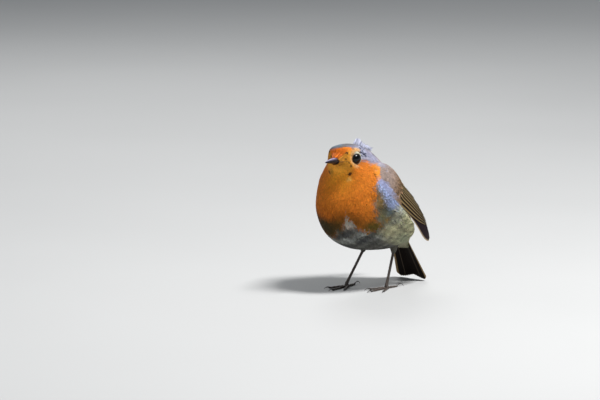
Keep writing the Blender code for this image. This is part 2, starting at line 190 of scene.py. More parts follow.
def ground_colours(t, side, ragged, beyond):
    """The coat without its bib: brown back, grey crown, lavender nape, belly and flank with
    patches from products of sines, and the blue band with the small marks about it. The
    belly's dark grey, darker low down, is painted shade, and a pale spot just below the wing
    is painted light against the wing's shadow."""
    spot = spots_on(t, side)
    nape = np.exp(-((side - np.interp(t, *NAPE_BAND)) / 19) ** 2)
    crown = smooth_step(3.4 - t, 0.0, 1.2) * smooth_step(t, 0.6, 1.1)
    under = smooth_step(side + 4 * ragged, 78, 96) * smooth_step(t, 4.6, 5.4)
    patch = (np.sin(t * 4.3 + side * 0.05) * np.sin(side * 0.11 - t * 1.9)
             + 0.5 * np.sin(t * 8.9 - side * 0.09))
    out = lay(
        np.zeros(t.shape + (3,)) + (0.24, 0.165, 0.090),                # olive-brown back
        ((0.36, 0.27, 0.23), smooth_step(5.9 - t, -0.8, 0.8)),          # mantle
        ((0.28, 0.245, 0.25), smooth_step(4.4 - t, -0.3, 0.5)),         # nape and crown
        ((0.085, 0.083, 0.078), 0.88 * crown * (1 + 0.25 * np.sin(side * 0.55 + 2.0 * t))),
        ((0.31, 0.31, 0.43), 0.9 * nape * smooth_step(t, 1.2, 2.8) * smooth_step(5.2 - t, 0, 1)),
        ((0.43, 0.41, 0.24), smooth_step(side, 50, 62) * smooth_step(t, 6.2, 6.8)),     # flank
        # painted light: a pale spot just below the wing, against the shadow the wing casts
        ((0.42, 0.43, 0.38), 0.8 * spot(6.85, 80, 0.3, 9)),
        ((0.078, 0.079, 0.071), under),                                 # belly, painted dark grey as shade, then its sides
        ((0.35, 0.33, 0.20), under * smooth_step(t, 6.7, 7.5) * smooth_step(132 - side, 0, 30)),
        ((0.22, 0.235, 0.15), under * smooth_step(t, 7.6, 8.6) * smooth_step(126 - side, 0, 24)),
        ((0.56, 0.47, 0.38), (1 - beyond) * under * spot(6.22, 151, 0.38, 7)),          # notch
        ((0.25, 0.26, 0.24), 0.8 * under * np.clip(-1.2 * patch - 0.1, 0, 1)
         * smooth_step(8.2 - t, 0, 0.8)),
        ((0.045, 0.048, 0.050), 0.8 * under * smooth_step(side, 118, 150) * np.clip(patch, 0, 1)),
        # painted shade: the lower belly darker still
        ((0.060, 0.058, 0.050), 0.8 * under * smooth_step(t, 7.2, 8.2)
         * smooth_step(side, 118, 146)),
        ((0.25, 0.24, 0.16), smooth_step(t, 9.2, 10.2) * smooth_step(side, 80, 120)))   # vent
    mottle = np.sin(9.7 * t + 0.17 * side + 0.9 * ragged) * np.sin(0.33 * side - 4.1 * t)
    fluffed = smooth_step(side, 60, 84) * smooth_step(t, 6.2, 6.8) * smooth_step(9.6 - t, 0, 1)
    out = out * (1 + 0.55 * fluffed * np.clip(mottle, 0, 1)
                 - 0.45 * fluffed * np.clip(-mottle, 0, 1))[..., None]
    blue = (smooth_step(side, 62, 70) * smooth_step(t, 4.5, 4.75)
            * smooth_step(6.85 - t - 0.1 * ragged, 0, 0.5))
    blue_edge = np.interp(t, *BLUE_EDGE)
    return lay(
        out, ((0.31, 0.37, 0.58), blue * smooth_step(blue_edge + 2 * ragged - side, -4, 4)),
        ((0.34, 0.205, 0.055), 0.85 * spot(5.75, 99.5, 0.42, 5)),       # rust and gold
        ((0.34, 0.19, 0.050), 0.8 * spot(6.83, 99.5, 0.14, 4)),
        ((0.075, 0.085, 0.060), 0.9 * spot(6.38, 96, 0.22, 5)),         # dark olive
        ((0.12, 0.105, 0.036), 0.9 * spot(6.55, 104, 0.34, 8)),
        ((0.10, 0.14, 0.15), 0.8 * spot(6.55, 91, 0.16, 5)))            # teal


def bib_shape(t, side, ragged, wave, beyond):
    """How far each place lies in the bib, 0 to 1, and the section of the hem there. The
    edge is an angle for each section and the hem a section for each angle. Both waver, and
    the hem is lower beyond the middle of the breast."""
    edge, hem = np.interp(t, *BIB_EDGE), np.interp(side, *BIB_HEM)
    hem = hem + beyond * np.maximum(FAR_HEM - hem, 0)
    bib = smooth_step(side + 3.5 * ragged + 1.5 * wave - edge, -5.0, 6.0)
    return bib * smooth_step(hem - t + 0.12 * ragged + 0.04 * wave, -0.15, 0.16), hem


def plumage(t, a, ragged=0.0):
    """Feather colour at section t and angle a: the ground, the bib and the marks of the
    face, laid over each other. The bib is darkened low down and beyond the middle as painted
    shade, and the chin and a spot on the throat are lightened as painted light. ragged
    shifts each edge by a feather's own chance, so that no edge is a drawn line."""
    t = np.asarray(t, dtype=float)
    side = from_back(a)
    ragged = np.broadcast_to(ragged, t.shape)
    spot = spots_on(t, side)
    far = np.degrees(a) % 360.0 > 180.0
    beyond = smooth_step(np.degrees(a) % 360.0, 168, 184)
    wave = np.sin(t * 9.1 + side * 0.13) * np.sin(side * 0.21 - t * 3.3)
    bib, hem = bib_shape(t, side, ragged, wave, beyond)
    from_eye = np.linalg.norm(body_surface(t, np.radians(side), 1.0) - turned(EYE), axis=-1)
    nick = sum(share * spot(*mark) for *mark, share in FACE_MARKS)
    gape = smooth_step(2.6 - np.abs(side - 97), -1, 1.4) * smooth_step(1.0 - t, 0, 0.35)
    ruffle = np.maximum(np.maximum(spot(3.0, 33, 0.22, 6), spot(3.14, 41, 0.18, 4)),
                        spot(3.2, 56, 0.3, 5))
    parted = np.sin(10.5 * t + 0.63 * side) * np.sin(0.63 * side - 7.0 * t + 1.0) + 0.15 * ragged
    far_crown = far * smooth_step(74 - side, 0, 14) * spot(1.5, 26, 0.62, 26)
    out = lay(
        ground_colours(t, side, ragged, beyond),
        ((0.66, 0.185, 0.016), bib),                                    # orange; the next layers darken it below and beyond the middle as painted shade
        # painted shade: the bib deepens towards its hem, low on the breast and beyond the middle
        ((0.46, 0.115, 0.010), bib * smooth_step(t, 4.9, 6.2) * smooth_step(side, 112, 150)),
        ((0.19, 0.070, 0.007), 0.85 * bib * smooth_step(np.maximum(hem, 6.3) - t, 1.25, 0.15)),
        ((0.055, 0.038, 0.005), 0.8 * bib * smooth_step(t, 5.6, 6.4) * smooth_step(side, 150, 165)),
        ((0.040, 0.024, 0.004), 0.9 * beyond * bib * smooth_step(t + 0.15 * wave, 5.7, 6.3)),
        ((0.10, 0.070, 0.010), bib * smooth_step(t, 6.3, 6.75) * smooth_step(134 - side, 0, 8)),
        ((0.68, 0.28, 0.030), bib * smooth_step(2.8 - t, 0, 1.2) * smooth_step(side, 40, 60)),
        ((0.92, 0.40, 0.040), bib * spot(1.5, 168, 0.9, 28)),           # chin, painted lighter: painted light against the shade under the bill
        ((0.72, 0.165, 0.013), bib * smooth_step(56 - side, 0, 16)
         * smooth_step(1.25 - t, 0, 0.5)),                              # forehead
        ((0.80, 0.30, 0.020), 0.9 * bib * np.exp(-((side - 162) / 26) ** 2
                                                 - ((t - 2.7) / 1.3) ** 2)),
        ((0.80, 0.33, 0.040), 0.9 * bib * spot(4.36, 69, 0.36, 11)),    # lobe at the shoulder
        # painted highlight on the near side of the throat
        ((1.0, 0.56, 0.14), 0.75 * (1 - far) * spot(3.05, 145, 0.20, 6)),
        ((0.60, 0.36, 0.16), 0.8 * smooth_step(6.8 - from_eye, 0.0, 2.0)
         * smooth_step(3.6 - t, 0, 0.8)),                               # buff about the eye
        # painted shade low on the front of the breast
        ((0.035, 0.026, 0.005), 0.8 * spot(6.38, 169, 0.28, 11)),
        ((0.06, 0.025, 0.008), 0.95 * smooth_step(nick, 0.20, 0.55)),
        # painted shade on the far side of the throat
        ((0.22, 0.12, 0.016), 0.7 * far * bib * spot(2.1, 147, 0.8, 11)),
        ((0.10, 0.035, 0.010), 0.8 * far * smooth_step(spot(0.48, 16.5, 0.30, 3.5), 0.3, 0.7)),
        ((0.15, 0.085, 0.05), 0.8 * gape),
        ((0.055, 0.06, 0.09), 0.7 * ruffle * smooth_step(-parted, 0.15, 0.45)),
        ((0.12, 0.15, 0.185), smooth_step(far_crown, 0.06, 0.48)))
    fleck = np.sin(t * 13.0 + side * 0.31) * np.sin(side * 0.43 - t * 6.1)
    return out * (1 + 0.07 * wave + 0.07 * fleck * smooth_step(t, 3.0, 4.5))[..., None]


def put(name, data):
    """A mesh, lamp or camera as an object in the scene."""
    made = bpy.data.objects.new(name, data)
    bpy.context.scene.collection.objects.link(made)
    return made


def paint(mesh, tint):
    """One colour for each point, kept in the attribute named plumage."""
    layer = mesh.attributes.get("plumage") or mesh.attributes.new("plumage", "FLOAT_COLOR", "POINT")
    layer.data.foreach_set("color", np.hstack([tint, np.ones((len(tint), 1))]).ravel())


def grid_faces(rows, around):
    """Quads between neighbouring rings of a grid, joined round."""
    i = np.arange(rows - 1)[:, None] * around
    j = np.arange(around)
    k = (j + 1) % around
    return np.stack([i + j, i + k, i + around + k, i + around + j], axis=-1).reshape(-1, 4)


def shell(name, rings, material, colours=None, ends=True):
    """Closed mesh through rings of equal length, with a fan of each end ring to a pole, or,
    without ends, the last ring joined to the first. Its faces are turned outwards."""
    rings = np.asarray(rings, dtype=float)
    rows, around = rings.shape[:2]
    points = rings.reshape(-1, 3)
    tint = None if colours is None else np.broadcast_to(colours, rings.shape).reshape(-1, 3)
    if ends:
        faces = grid_faces(rows, around).tolist()
        points = np.vstack([points, rings[0].mean(axis=0), rings[-1].mean(axis=0)])
        j = np.arange(around)
        k = (j + 1) % around
        first, last = np.full(around, rows * around), (rows - 1) * around
        faces += np.stack([first, k, j], axis=-1).tolist()
        faces += np.stack([first + 1, last + j, last + k], axis=-1).tolist()
        if tint is not None:
            tint = np.vstack([tint, tint[:around].mean(axis=0), tint[-around:].mean(axis=0)])
    else:
        faces = (grid_faces(rows + 1, around) % (rows * around)).tolist()
    mesh = bpy.data.meshes.new(name)
    mesh.from_pydata(((points + (AHEAD, 0, 0)) * MM).tolist(), [], faces)
    work = bmesh.new()
    work.from_mesh(mesh)
    bmesh.ops.recalc_face_normals(work, faces=work.faces)
    work.to_mesh(mesh)
    work.free()
    mesh.shade_smooth()
    if tint is not None:
        paint(mesh, tint)
    mesh.materials.append(material)
    return put(name, mesh)


def node(tree, kind, inputs=None, **settings):
    """A shader node with its settings, and its inputs as values or as links."""
    made = tree.nodes.new(kind)
    for key, value in settings.items():
        setattr(made, key, value)
    for key, value in (inputs or {}).items():
        if isinstance(value, bpy.types.NodeSocket):
            tree.links.new(value, made.inputs[key])
        else:
            made.inputs[key].default_value = value
    return made


def finish(name, look, roughness, **constants):
    """A Principled material. look(tree) gives the colour socket, the height socket of a
    fine bump and the bump's depth in metres, and roughness is a pair mixed by that height."""
    made = bpy.data.materials.new(name)
    made.use_nodes = True
    tree = made.node_tree
    shader = tree.nodes["Principled BSDF"]
    tone, height, depth = look(tree)
    tree.links.new(tone, shader.inputs["Base Color"])
    bump = node(tree, "ShaderNodeBump", {"Height": height, "Strength": 0.6, "Distance": depth})
    tree.links.new(bump.outputs[0], shader.inputs["Normal"])
    low, high = roughness
    rough = node(tree, "ShaderNodeMapRange", {"Value": height, "To Min": low, "To Max": high})
    tree.links.new(rough.outputs[0], shader.inputs["Roughness"])
    for key, value in constants.items():
        shader.inputs[key.replace("_", " ")].default_value = value
    return made


def own_paint(tree, output="Color"):
    """The paint kept on the piece's points."""
    return node(tree, "ShaderNodeAttribute", attribute_name="plumage").outputs[output]


def grain(tree, scale, detail):
    """Noise in the piece's own space, with its scale for each metre."""
    place = node(tree, "ShaderNodeTexCoord").outputs["Object"]
    return node(tree, "ShaderNodeTexNoise",
                {"Vector": place, "Scale": scale, "Detail": detail}).outputs["Fac"]


def worn_paint(tree, wear, to, source=(0.0, 1.0)):
    """The piece's paint times a value that goes over the pair to as wear goes over source."""
    value = node(tree, "ShaderNodeMapRange", {"Value": wear, "From Min": source[0],
                                              "From Max": source[1], "To Min": to[0],
                                              "To Max": to[1]})
    return node(tree, "ShaderNodeVectorMath", {0: own_paint(tree), 1: value.outputs[0]},
                operation="MULTIPLY").outputs[0]


def skin_look(tree):
    """The skin's own paint, mottled by fine noise, with goose-flesh as its height."""
    flesh = grain(tree, 900.0, 3.0)
    return worn_paint(tree, flesh, (0.45, 0.85)), flesh, 0.0003


skin_material = finish("bird_skin", skin_look, (0.6, 0.85))
t, a = np.linspace(0.0, SKIN_END, 133)[:, None], circle(96)[None]
skin = shell("skin", body_surface(t, a, coat_depth(t)), skin_material)
for leg in LEGS.values():
    w = np.linspace(0.0, 1.0, 30)[:, None]
    limb = shell("thigh", thigh_surface(leg)(w, circle(32), 0.8 - 0.6 * w), skin_material)
    union = skin.modifiers.new("thigh", "BOOLEAN")
    union.operation, union.solver, union.object = "UNION", "EXACT", limb
    graph = bpy.context.evaluated_depsgraph_get()
    joined = bpy.data.meshes.new_from_object(skin.evaluated_get(graph))
    skin.modifiers.clear()
    skin.data = joined
    bpy.data.objects.remove(limb)
where = np.stack([v.ravel() for v in np.broadcast_arrays(
    np.linspace(0.0, SKIN_END, 221)[:, None], np.radians(np.arange(0, 360, 3.0))[None])], axis=-1)
near_skin = KDTree(len(where))
for k, point in enumerate(body_surface(where[:, 0], where[:, 1], coat_depth(where[:, 0]))):
    near_skin.insert(point, k)
near_skin.balance()


def place_on_skin(points):
    """Section number and angle of the place on the skin nearest to each point."""
    return where[[near_skin.find(point)[1] for point in points]]


points = np.empty(len(skin.data.vertices) * 3)
skin.data.vertices.foreach_get("co", points)
at = place_on_skin(points.reshape(-1, 3) / MM - (AHEAD, 0, 0))
paint(skin.data, plumage(at[:, 0], at[:, 1]))
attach(skin, "root")
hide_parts("head", "neck", "trunk", "thigh_left", "thigh_right")

# Eyes and lids. Each eye is a polished glass ball, nearly black with a very dark brown
# iris, set in the socket behind a rim of bare lid that closes round it.
EYE_RADIUS, CORNEA_RISE, CORNEA_WIDTH = 3.5, 0.03, 0.55
EYE_AIM = unit(np.array((0.42, 0.90, 0.06)))
LID_OPENING = 51.0          # half the angle of the opening, seen from the eye's middle
LID_RING = np.array((       # degrees past the opening, distance from the eye's middle
    (0, 3.44), (0.5, 3.60), (2.5, 3.78), (6, 3.84), (10, 3.80), (16, 3.90),
    (24, 4.12), (32, 4.20), (38, 4.0), (30, 3.4), (12, 3.36)))


def eye_frame(sign):
    """Eye's middle, the way it looks, and the two axes across it."""
    centre = turned(EYE * (1, sign, 1))
    aim = turned(EYE_AIM * (1, sign, 1) + (HEAD_PIVOT, 0, 0)) - (HEAD_PIVOT, 0, 0)
    ahead = unit(np.cross((0, 0, 1.0), aim)) * -sign
    return centre, aim, ahead, unit(np.cross(ahead, aim)) * sign


def paler_behind(phi):
    """1 behind and above the eye, 0 below it and towards the bill."""
    return smooth_step(-np.cos(phi) + 0.5 * np.sin(phi), -0.5, 0.6)


def eye_look(tree):
    """Black pupil, dark brown iris and a black rim, by the paint's value, which holds the
    angle from the middle of the cornea, over a hardly uneven polish."""
    ramp = node(tree, "ShaderNodeValToRGB", {"Fac": own_paint(tree, "Fac")})
    stops = ramp.color_ramp.elements
    stops[0].position, stops[0].color = 0.34, (0.0015, 0.0012, 0.0012, 1)
    stops[1].position, stops[1].color = 0.60, (0.004, 0.003, 0.0025, 1)
    brown = stops.new(0.38)
    brown.color = (0.006, 0.003, 0.002, 1)
    return ramp.outputs["Color"], grain(tree, 2500.0, 2.0), 0.000002


def lid_look(tree):
    """The lid's paint over fine wrinkles."""
    return own_paint(tree), grain(tree, 3200.0, 4.0), 0.00008


eye_material = finish("eye_glass", eye_look, (0.02, 0.04), IOR=1.36)
lid_material = finish("lid_skin", lid_look, (0.45, 0.7))
for side, sign in (("left", 1), ("right", -1)):
    centre, aim, ahead, above = eye_frame(sign)
    theta = np.radians(np.linspace(2.0, 178.0, 45))[:, None, None]
    phi = circle(64)[None, :, None]
    radial = np.cos(phi) * ahead + np.sin(phi) * above
    bulge = EYE_RADIUS * (1 + CORNEA_RISE * np.exp(-(theta / CORNEA_WIDTH) ** 2))
    ball = centre + bulge * (np.cos(theta) * aim + np.sin(theta) * radial)
    eye = shell("eye_glass_" + side, ball, eye_material, theta / np.pi * 2.0)
    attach(eye, "root")
    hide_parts("eye_" + side)
    opening = LID_OPENING * (1 + 0.05 * np.cos(2 * phi[..., 0]))
    theta = np.radians(opening + LID_RING[:, :1])[..., None]
    lid = centre + LID_RING[:, 1, None, None] * (np.cos(theta) * aim + np.sin(theta) * radial)
    rim = np.array((0.14, 0.075, 0.035)) + np.array((0.28, 0.30, 0.22)) * paler_behind(phi)
    edge = smooth_step(LID_RING[:, :1, None], 3.0, 8.0)
    tone = np.array((0.012, 0.009, 0.008)) + (rim - 0.01) * edge
    lids = shell("eyelids_" + side, lid, lid_material, tone, ends=False)
    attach(lids, "root")

# Bill. Fine and pointed, black horn over bone, the upper half a little ridged along its
# top with a slit of a nostril near the root, and the two halves closed along the gape. A
# lilac highlight is painted along the ridge, and the nostrils are painted darker as shade
# in their dents.
BILL_TIP, BILL_ROOT = np.array((44.9, 0.0, 83.8)), np.array((28.6, 0.0, 82.9))
BILL_WIDTH, BILL_RISE, BILL_DROP, BILL_ARCH, BILL_LIFT = 6.2, 2.4, 2.4, 1.3, 0.05
NOSTRIL_AT, NOSTRIL_SIZE = (0.30, 0.72), (0.045, 0.16)      # along the bill, out from its ridge
# Horn's paint, a painted lilac highlight for the ridge, and the gape's paler rim.
HORN, RIDGE_HIGHLIGHT, HORN_RIM = (np.array(colour) for colour in (
    (0.008, 0.006, 0.008), (0.27, 0.25, 0.39), (0.03, 0.02, 0.02)))


def bill_size(s):
    """Size at s from root to tip: (1 - s) to the power 0.58, less 0.15 s, plus 0.04."""
    return (1 - s) ** 0.58 * (1 - 0.15 * s) + 0.04


def bill_half(height, lift):
    """One half of the bill, at s from root to tip and an angle round it, and its paint. It
    is half an oval of bill_size, up to height, and almost flat along the gape, on a line
    arched by BILL_ARCH s (1 - s). A bell curve sinks the upper half's nostrils. The paint
    is horn with a painted highlight along the upper half's ridge, a paler rim at the gape
    near the root, and painted shade in the nostrils."""
    s, angle = np.linspace(0.0, 1.0, 44)[:, None], circle(36)[None]
    size, is_upper = bill_size(s), height > 0
    centre = BILL_ROOT + (BILL_TIP - BILL_ROOT) * s[..., None]
    dome = np.abs(np.sin(angle)) ** 0.85
    nostril = (np.exp(-((s - NOSTRIL_AT[0]) / NOSTRIL_SIZE[0]) ** 2
                      - ((np.abs(np.cos(angle)) - NOSTRIL_AT[1]) / NOSTRIL_SIZE[1]) ** 2)
               * (np.sin(angle) > 0) * is_upper)
    width = 0.5 * BILL_WIDTH * size**1.2 * (1 - 0.10 * nostril)
    out = np.empty((s.shape[0], angle.shape[1], 3))
    out[..., 0] = centre[..., 0]
    out[..., 1] = np.cos(angle) * width * (1 - 0.10 * dome)
    profile = np.where(np.sin(angle) > 0, dome * (1 - 0.07 * nostril), -0.05 * dome)
    out[..., 2] = centre[..., 2] + lift + BILL_ARCH * s * (1 - s) + profile * height * size
    # painted highlight along the top of the upper half, fuller from the middle to the tip
    ridge = np.clip(np.sin(angle), 0, 1) ** 3 * is_upper
    ridge = (ridge * (0.35 + 0.65 * smooth_step(s, 0.1, 0.5)))[..., None]
    rim = (np.exp(-(np.sin(angle) / 0.22) ** 2) * (1 - s) ** 1.5)[..., None]
    # horn, the painted ridge highlight, the gape's rim, and painted shade in the nostrils
    tone = (HORN + RIDGE_HIGHLIGHT * ridge + HORN_RIM * rim) * (1 - 0.85 * nostril[..., None])
    return turned(out), tone


def horn_look(tree):
    """Painted horn, made darker and lighter by a fine grain."""
    wear = grain(tree, 1400.0, 5.0)
    return worn_paint(tree, wear, (0.6, 1.5)), wear, 0.00006


horn_material = finish("bill_horn", horn_look, (0.25, 0.5), Coat_Weight=0.12,
                       Coat_Roughness=0.25, Specular_IOR_Level=0.3)
for name, height, lift in (("upper", BILL_RISE, BILL_LIFT), ("lower", -BILL_DROP, -BILL_LIFT)):
    points, tone = bill_half(height, lift)
    horn = shell("bill_horn_" + name, points, horn_material, tone)
    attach(horn, "root")
    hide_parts("bill_" + name)

# Legs and feet. Bare dark skin with a row of overlapping scutes down the front of the
# shank and over each toe, soft pads under the toes, and a curved black claw on each.
SHANK_RADIUS, TOE_RADIUS, CLAW_RADIUS = 0.85, (0.78, 0.55), (0.5, 0.12)
SHANK_HIDDEN, SCUTE_RISE = 3.0, 0.13        # length up inside the thigh; height of the plates
UP = np.array((0, 0, 1.0))
LEG_PAINT, CLAW_PAINT = np.array((0.050, 0.036, 0.028)), np.array((0.018, 0.014, 0.012))
FOOT = ((2.1, 1.0, 1.1), (1.6, 1.2, 1.5), (1.1, 1.3, 1.8), (0.5, 1.3, 1.9),
        (0.12, 1.1, 1.75), (0.0, 0.9, 1.5))         # height, half length, half width
TOES = {                    # turn, root ahead and outwards, length, claw's length and arch
    "middle": (0.0, 1.75, 0.0, 13.0, 4.2, 0.7), "inner": (-24.0, 1.35, -1.6, 9.0, 3.8, 0.7),
    "outer": (26.0, 1.35, 1.6, 9.6, 3.8, 0.7), "hind": (176.0, -1.75, 0.0, 7.6, 6.2, 1.5)}


def limb_rings(line, radius, around, ahead=(1.0, 0.0, 0.0)):
    """Rings about a line of points. radius is a number for each point and angle, and angle
    0 faces as nearly as it can along the vector ahead."""
    along = unit(np.gradient(line, axis=0))
    first = unit(np.array(ahead) - along * (along @ np.array(ahead))[:, None])
    second = np.cross(along, first)
    angle = circle(around)
    return line[:, None] + radius[..., None] * (np.cos(angle)[None, :, None] * first[:, None]
                                                + np.sin(angle)[None, :, None] * second[:, None])


def scute(places, angle):
    """A saw-tooth relief, steep at each plate's lower edge, that fades round the back."""
    return SCUTE_RISE * (places % 1.0) ** 2 * np.clip(np.cos(angle) * 1.4 + 0.2, 0, 1)


def tapered(ends, s):
    """A radius that goes evenly from the first end to the second as s goes from 0 to 1."""
    return ends[0] + (ends[1] - ends[0]) * s


def on_floor(rings):
    """Rings flattened where they would go below the floor."""
    rings[..., 2] = np.maximum(rings[..., 2], 0.0)
    return rings


def shank_and_foot(leg):
    """Rings of one shank, a rod with scutes that is thicker at both ends, and of the foot
    below it, ovals down to a flat on the floor, with their paint."""
    pad, top = np.array((*leg["pad"], 0.0)), np.array(leg["shank"])
    ankle = pad + (0, 0, PAD_HEIGHT)
    top = top + unit(top - ankle) * SHANK_HIDDEN
    around = 24
    s, angle = np.linspace(0, 1, 90)[:, None], circle(around)[None]
    relief = scute(s * 11, angle) + 0.05 * np.cos(angle * 2)
    radius = SHANK_RADIUS * (1 + 0.35 * (2 * s - 1) ** 6 + relief - 0.05)
    rings = limb_rings(top + (ankle - top) * s, radius, around)[:-1]
    foot = [pad + np.stack([long * np.cos(angle[0]), -wide * np.sin(angle[0]),
                            np.full(around, height)], axis=-1) for height, long, wide in FOOT]
    quarter = around // 4
    near, other = (np.linalg.norm(rings[-1][quarter] - foot[0][k]) for k in (quarter, -quarter))
    if near > other:        # the foot's rings go the same way round as the shank's
        foot = [np.roll(ring[::-1], 1, axis=0) for ring in foot]
    plate = np.concatenate([relief[:-1], np.zeros((len(foot), around))])
    return np.concatenate([rings, np.array(foot)]), LEG_PAINT * (1 + 5.5 * plate[..., None])


def toe_rings(root, line, length):
    """Rings of one toe and their paint: a rod with three joints and scutes on top, laid on
    the floor from its root along a line, and flat underneath."""
    s, angle = np.linspace(0, 1, 60)[:, None], circle(18)[None]
    joint, relief = 0.13 * np.cos(s * 6 * np.pi), scute(s * 12, angle)
    radius = tapered(TOE_RADIUS, s) * (1 + joint + relief - 0.06)
    path = root + line * length * s + UP * (0.85 * TOE_RADIUS[0] * (1 - 0.2 * s))
    sole = 0.02 * np.clip(-np.cos(angle), 0, 1)[..., None]
    tone = LEG_PAINT * (1 + 5.5 * relief[..., None]) + sole
    return on_floor(limb_rings(path, radius, 18, ahead=UP)), tone


def claw_rings(root, line, length, claw, arch):
    """Rings of one claw and their paint: a rod from just inside the toe's end that rises by
    4 arch s (1 - s) and comes down to a point."""
    s, angle = np.linspace(0, 1, 26)[:, None], circle(14)[None]
    path = root + line * (length - 0.25 + (claw + 0.4) * s)
    path = path + UP * (0.55 + 4 * arch * s * (1 - s) - 0.4 * s)
    radius = tapered(CLAW_RADIUS, s) * (1 - 0.15 * np.sin(angle) ** 2)
    tone = CLAW_PAINT + 0.03 * np.clip(np.cos(angle), 0, 1)[..., None] * (1 - s)[..., None]
    return on_floor(limb_rings(path, radius, 14, ahead=UP)), tone


def leg_look(tree):
    """Brown-black leg skin, its plates' edges paler, with a fine pebbled grain."""
    place = node(tree, "ShaderNodeTexCoord").outputs["Object"]
    cells = node(tree, "ShaderNodeTexVoronoi", {"Vector": place, "Scale": 2600.0})
    pebble = cells.outputs["Distance"]
    return worn_paint(tree, pebble, (1.25, 0.7)), pebble, 0.00008


leg_material = finish("leg_skin", leg_look, (0.4, 0.65), Coat_Weight=0.1, Coat_Roughness=0.4)
claw_material = finish("claw_horn", horn_look, (0.25, 0.45), Coat_Weight=0.3, Coat_Roughness=0.2)
for side, leg in LEGS.items():
    rings, tone = shank_and_foot(leg)
    shank = shell("leg_" + side, rings, leg_material, tone)
    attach(shank, "root")
    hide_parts("shank_" + side)
    sign, heading = 1 if side == "left" else -1, np.radians(leg["heading"])
    face = np.array((np.cos(heading), np.sin(heading), 0.0))
    flank = np.array((-face[1], face[0], 0.0)) * sign
    for name, (turn, ahead_of, outer, length, claw, arch) in TOES.items():
        aim = heading + np.radians(turn) * sign
        line = np.array((np.cos(aim), np.sin(aim), 0.0))
        root = np.array((*leg["pad"], 0.0)) + face * ahead_of + flank * outer
        rings, tone = toe_rings(root, line, length)
        toe = shell(f"toe_skin_{name}_{side}", rings, leg_material, tone)
        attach(toe, "root")
        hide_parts(f"toe_{name}_{side}")
        rings, tone = claw_rings(root, line, length, claw, arch)
        nail = shell(f"claw_nail_{name}_{side}", rings, claw_material, tone)
        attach(nail, "root")
        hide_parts(f"claw_{name}_{side}")

# Body feathers. Small soft feathers rooted in the skin, each a thin curved vane with a
# frayed tip that lies back over the next, and over them narrow locks of loose barbs.
chance = np.random.default_rng(20261122)
TUFT_LENGTH = ((0, 1, 2, 3, 4, 5, 6.5, 8, 9.3, 10.2, 11),
               (1.5, 2.2, 2.8, 3.8, 5.0, 6.0, 6.8, 7.6, 6.5, 4.5, 3.4))
TUFT_SPACE = ((0, 1, 2, 3, 4, 5, 8, 11), (0.42, 0.5, 0.58, 0.70, 0.85, 1.0, 1.1, 1.1))
WING_LINE = ((4.2, 4.7, 5.3, 5.9, 6.4, 6.9, 7.4, 8.4, 9.3),       # the wing's lower edge
             (80, 87, 87, 82, 76, 72, 70, 71, 72))
SWELL = ((4.2, 4.6, 5.2, 6.0, 7.0, 8.0, 9.0, 9.8), (0, 1.2, 2.2, 2.6, 3.4, 4.7, 2.3, 0))
LID_CLEAR = 3.6             # no tuft comes nearer than this to the line that an eye looks along
REGIONS = ("face", "neck", "breast", "belly", "vent")
REGION_ENDS = (3.0, 4.8, 6.4, 8.0)


def scatter(shape, limit=2.0):
    """Normal chance values, cut off at a limit."""
    return chance.standard_normal(shape).clip(-limit, limit)


def tuft_outline(u, point):
    """Half width along a vane: opens from a third at the root, then narrows to its tip."""
    open_up = 0.35 + 0.65 * np.sin(np.clip(u / 0.5, 0, 1) * np.pi / 2)
    return open_up * (1 - point * np.clip((u - 0.5) / 0.5, 0, 1) ** 2)


